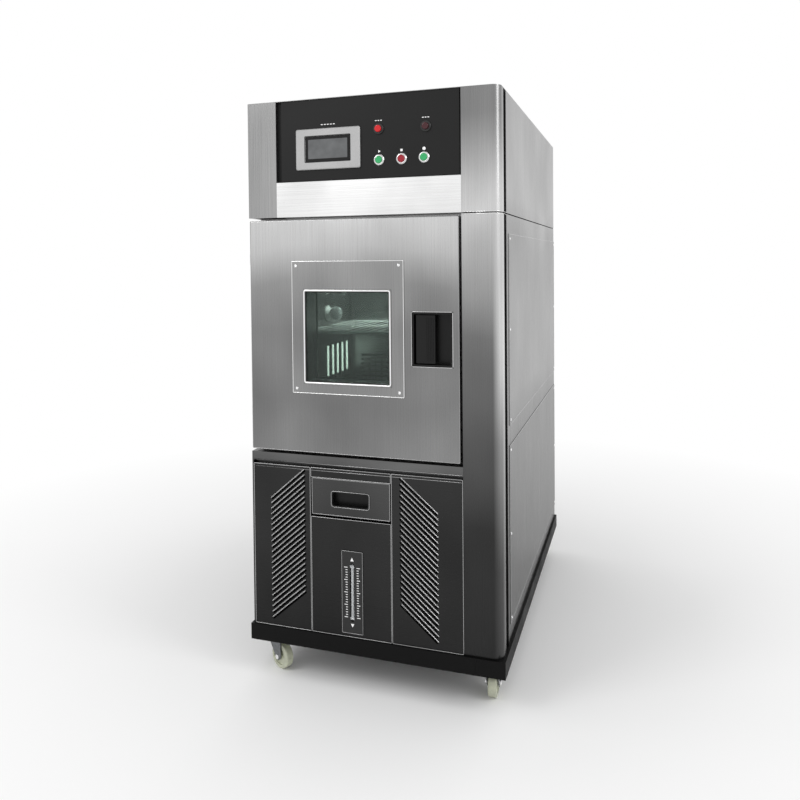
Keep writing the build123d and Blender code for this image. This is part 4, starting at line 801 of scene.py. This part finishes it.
class CHAMBER_OT_controls(bpy.types.Operator):
    """The controller's display with its dark gasket, and the bright collars round the three buttons."""
    bl_idname = "chamber.controls"
    bl_label = "Controls"

    def execute(self, context):
        values = look()
        low, high = corners("controller_screen")
        edge = values.display_margin + 0.0002
        outline = inset_outline(low, high, edge, 0.0012)
        front_plates("display_face", [outline], low[1] + 0.0006, low[1] + 0.0001, "chamber",
                     finish("grey_screen"), bevel=0.00008)
        bezel_face = corners("controller_bezel")[0][1]
        front_beads("screen_gasket", [inset_outline(low, high, -0.0012)], 0.0009, bezel_face + 0.0003, "chamber",
                    finish("black_plastic"))
        ring_face = corners("panel_rings")[0][1]
        places = []
        for node in ("run_button", "stop_button", "light_button"):
            a, b = corners(node)
            places.append(((a[0] + b[0]) / 2, ring_face, (a[2] + b[2]) / 2))
        collar = np.array([(0.0098, -0.0006), (0.0127, -0.0006), (0.0127, 0.0004), (0.0122, 0.0009), (0.0112, 0.0010),
                           (0.0103, 0.0006), (0.0098, 0.0001)])
        revolved("ring_collars", places, (0, -1, 0), np.vstack([collar, collar[:1]]), "chamber",
                 finish("bright_steel"), sides=48)
        return {"FINISHED"}


class CHAMBER_OT_inside(bpy.types.Operator):
    """What shows through the window: slots in the left wall that glow with painted light, a lamp in its socket, and
    the shelf's front rail.
    """
    bl_idname = "chamber.inside"
    bl_label = "Inside"

    def execute(self, context):
        values = look()
        wall = values.cavity_x[0]
        slots = []
        for n in range(5):
            y = values.slot_y[0] + (values.slot_y[1] - values.slot_y[0]) * n / 4
            slots.append(((wall - 0.0002, y - 0.006, values.slot_z[0]),
                          (wall + 0.0012, y + 0.006, values.slot_z[1])))
        # the slots glow: painted light, they are no lamp
        boxes("wall_slots", slots, "chamber", finish("warm_lamp"))
        bulb_y, bulb_z = values.bulb_y, values.bulb_z
        profile = [(0.0005, 0.0)] + [(LAMP_SPHERE * math.sin(t), 0.012 + 0.020 * (1 - math.cos(t)))
                                     for t in np.linspace(0.5, math.pi - 0.02, 18)]
        revolved("chamber_lamp", [(wall, bulb_y, bulb_z)], (1, 0, 0), profile, "chamber",
                 finish("clear_tube"))
        socket = [(0.0005, 0.0001), (0.026, 0.0001), (0.026, 0.004), (0.0245, 0.0055), (0.018, 0.0062), (0.016, 0.014),
                  (0.0005, 0.014)]
        revolved("lamp_socket", [(wall, bulb_y, bulb_z)], (1, 0, 0), socket, "chamber", finish("white_plastic"),
                 sides=40)
        shelf_low, shelf_high = corners("wire_shelf")
        rail = [(shelf_low[0] + step * (shelf_high[0] - shelf_low[0]), shelf_low[1] + 0.005, shelf_low[2] + 0.003)
                for step in np.linspace(0, 1, 12)]
        level_tube("shelf_front_rail", rail, SHELF_RAIL, "chamber", finish("shelf_wire"),
                   sides=16)
        return {"FINISHED"}


class CHAMBER_OT_post(bpy.types.Operator):
    """The post's polished edges where it meets the head, the side panels' edges, and a black sheet in the groove that
    paints its shade.
    """
    bl_idname = "chamber.post"
    bl_label = "Post strip"

    def execute(self, context):
        values = look()
        low, high = corners("right_front_post")
        radius = values.post_radius
        turn = np.linspace(-math.pi / 2, 0, 12)
        corner = np.stack([high[0] - radius + radius * np.cos(turn), low[1] + radius + radius * np.sin(turn)],
                          axis=-1)
        path = np.vstack([[(low[0] + 0.003, low[1])], corner, [(high[0], high[1])]])
        heights = (("post_top_edge", high[2] - values.bead), ("head_foot_edge", high[2] + values.seam + values.bead))
        for name, z in heights:
            level_tube(name, np.column_stack([path, np.full(len(path), z)]), values.bead * 0.8, "chamber",
                       finish("bright_steel"))
        side_low, side_high = corners("right_access_panels")
        rows = ((side_low[2], values.panel_split), (values.panel_split + values.panel_gap, side_high[2]))
        edge = values.bead * 1.3
        outlines = [span_outline((side_low[1] + edge, foot + edge), (side_high[1] - edge, top - edge))
                    for foot, top in rows]
        front_beads("side_panel_edges", outlines, values.bead, -(side_high[0] - values.bead * 0.4), "chamber",
                    finish("edge_steel"), to_side=True)
        # a black sheet on the groove's floor: painted shade
        spans = [((high[0] - 0.0285, values.channel_y - 0.001, low[2]),
                  (high[0] - 0.0015, values.channel_y - 0.0003, ROOF_Z - 0.004))]
        boxes("groove_shade_sheet", spans, "chamber", finish("black_plastic"))
        return {"FINISHED"}


class CHAMBER_OT_stage(bpy.types.Operator):
    """A pale floor that keeps the shadow, a white surround for what looks out, soft lamps, and the photo's camera."""
    bl_idname = "chamber.stage"
    bl_label = "Stage"

    def execute(self, context):
        values = look()
        scene = context.scene
        mesh = bpy.data.meshes.new("floor")
        size = FLOOR_HALF
        square = [(-size, -size, 0), (size, -size, 0), (size, size, 0), (-size, size, 0)]
        mesh.from_pydata(square, [], [(0, 1, 2, 3)])
        floor = bpy.data.objects.new("floor", mesh)
        scene.collection.objects.link(floor)
        material, tree, shader, coords = start_material("floor_paint")
        drift = noise(tree, coords, 0.7, 2.0)
        tree.links.new(shade(tree, drift, [(0.0, grey(0.86)), (1.0, grey(0.92))]), shader.inputs["Base Color"])
        shader.inputs["Roughness"].default_value = 0.9
        shader.inputs["Specular IOR Level"].default_value = 0.0
        length = tree.nodes.new("ShaderNodeVectorMath")
        length.operation = "LENGTH"
        tree.links.new(coords, length.inputs[0])
        glow = tree.nodes.new("ShaderNodeEmission")
        mix = tree.nodes.new("ShaderNodeMixShader")
        tree.links.new(spread(tree, length.outputs["Value"], 0.0, 1.0, FLOOR_KEPT, FLOOR_WHITE), mix.inputs["Fac"])
        tree.links.new(shader.outputs["BSDF"], mix.inputs[1])
        tree.links.new(glow.outputs["Emission"], mix.inputs[2])
        tree.links.new(mix.outputs["Shader"], tree.nodes["Material Output"].inputs["Surface"])
        mesh.materials.append(material)
        world = bpy.data.worlds.new("surround")
        world.use_nodes = True
        scene.world = world
        nodes, links = world.node_tree.nodes, world.node_tree.links
        plain = nodes["Background"]
        plain.inputs["Color"].default_value = (1, 1, 1, 1)
        plain.inputs["Strength"].default_value = values.ambient
        white = nodes.new("ShaderNodeBackground")
        white.inputs["Color"].default_value = (1, 1, 1, 1)
        white.inputs["Strength"].default_value = 1.0
        path = nodes.new("ShaderNodeLightPath")
        seen = nodes.new("ShaderNodeMath")
        seen.operation = "MAXIMUM"
        seen.use_clamp = True
        links.new(path.outputs["Is Camera Ray"], seen.inputs[0])
        links.new(path.outputs["Is Transmission Ray"], seen.inputs[1])
        mix = nodes.new("ShaderNodeMixShader")
        links.new(seen.outputs["Value"], mix.inputs["Fac"])
        links.new(plain.outputs["Background"], mix.inputs[1])
        links.new(white.outputs["Background"], mix.inputs[2])
        links.new(mix.outputs["Shader"], nodes["World Output"].inputs["Surface"])
        lamps = (
            ("key", (-2.4, -3.2, 3.6), (0, 0, 0.9), 1.8, 45),
            ("fill", (3.4, -1.2, 2.8), (0, 0, 1.0), 1.6, 30),
            ("cavity", (-0.05, -0.20, 1.22), (-0.05, -0.2, 0.7), 0.12, 4.0),
        )
        for name, place, aim, width, power in lamps:
            data = bpy.data.lights.new(name, "AREA")
            data.size = width
            data.energy = power
            lamp = bpy.data.objects.new(name, data)
            lamp.location = place
            lamp.rotation_euler = (Vector(aim) - Vector(place)).to_track_quat("-Z", "Y").to_euler()
            scene.collection.objects.link(lamp)
        camera_data = bpy.data.cameras.new("photo_view")
        camera_data.lens = values.lens_mm
        camera_data.shift_x, camera_data.shift_y = values.shift_x, values.shift_y
        camera_data.clip_end = 60
        camera = bpy.data.objects.new("photo_view", camera_data)
        yaw, pitch, roll = (math.radians(angle) for angle in (values.yaw, values.pitch, values.roll))
        ahead = Vector((-math.sin(yaw) * math.cos(pitch), math.cos(yaw) * math.cos(pitch), math.sin(pitch)))
        right = Vector((math.cos(yaw), math.sin(yaw), 0))
        above = right.cross(ahead)
        turned_x = math.cos(roll) * right + math.sin(roll) * above
        turned_y = math.cos(roll) * above - math.sin(roll) * right
        turn = Matrix((turned_x, turned_y, -ahead)).transposed()
        camera.matrix_world = Matrix.Translation(Vector(values.eye)) @ turn.to_4x4()
        scene.collection.objects.link(camera)
        scene.camera = camera
        scene.view_settings.view_transform = "Standard"
        return {"FINISHED"}


STEPS = (CHAMBER_OT_finishes, CHAMBER_OT_louvre_lips, CHAMBER_OT_edge_beads, CHAMBER_OT_window, CHAMBER_OT_screws,
         CHAMBER_OT_marks, CHAMBER_OT_controls, CHAMBER_OT_inside, CHAMBER_OT_post, CHAMBER_OT_stage)


class CHAMBER_PT_panel(bpy.types.Panel):
    """The chamber's steps and values in the sidebar."""
    bl_idname = "CHAMBER_PT_panel"
    bl_label = "Test chamber"
    bl_space_type = "VIEW_3D"
    bl_region_type = "UI"
    bl_category = "Chamber"

    def draw(self, context):
        for key in context.scene.chamber_look.__annotations__:
            self.layout.prop(context.scene.chamber_look, key)
        for step in STEPS:
            self.layout.operator(step.bl_idname)


def register():
    """Registers the values, the steps and the panel."""
    for part in (ChamberLook, *STEPS, CHAMBER_PT_panel):
        bpy.utils.register_class(part)
    bpy.types.Scene.chamber_look = bpy.props.PointerProperty(type=ChamberLook)


def unregister():
    """Takes them out again."""
    del bpy.types.Scene.chamber_look
    for part in (CHAMBER_PT_panel, *reversed(STEPS), ChamberLook):
        bpy.utils.unregister_class(part)


def main():
    """Runs every step in order."""
    register()
    for step in STEPS:
        group, name = step.bl_idname.split(".")
        getattr(getattr(bpy.ops, group), name)()


if __name__ == "__main__":
    main()
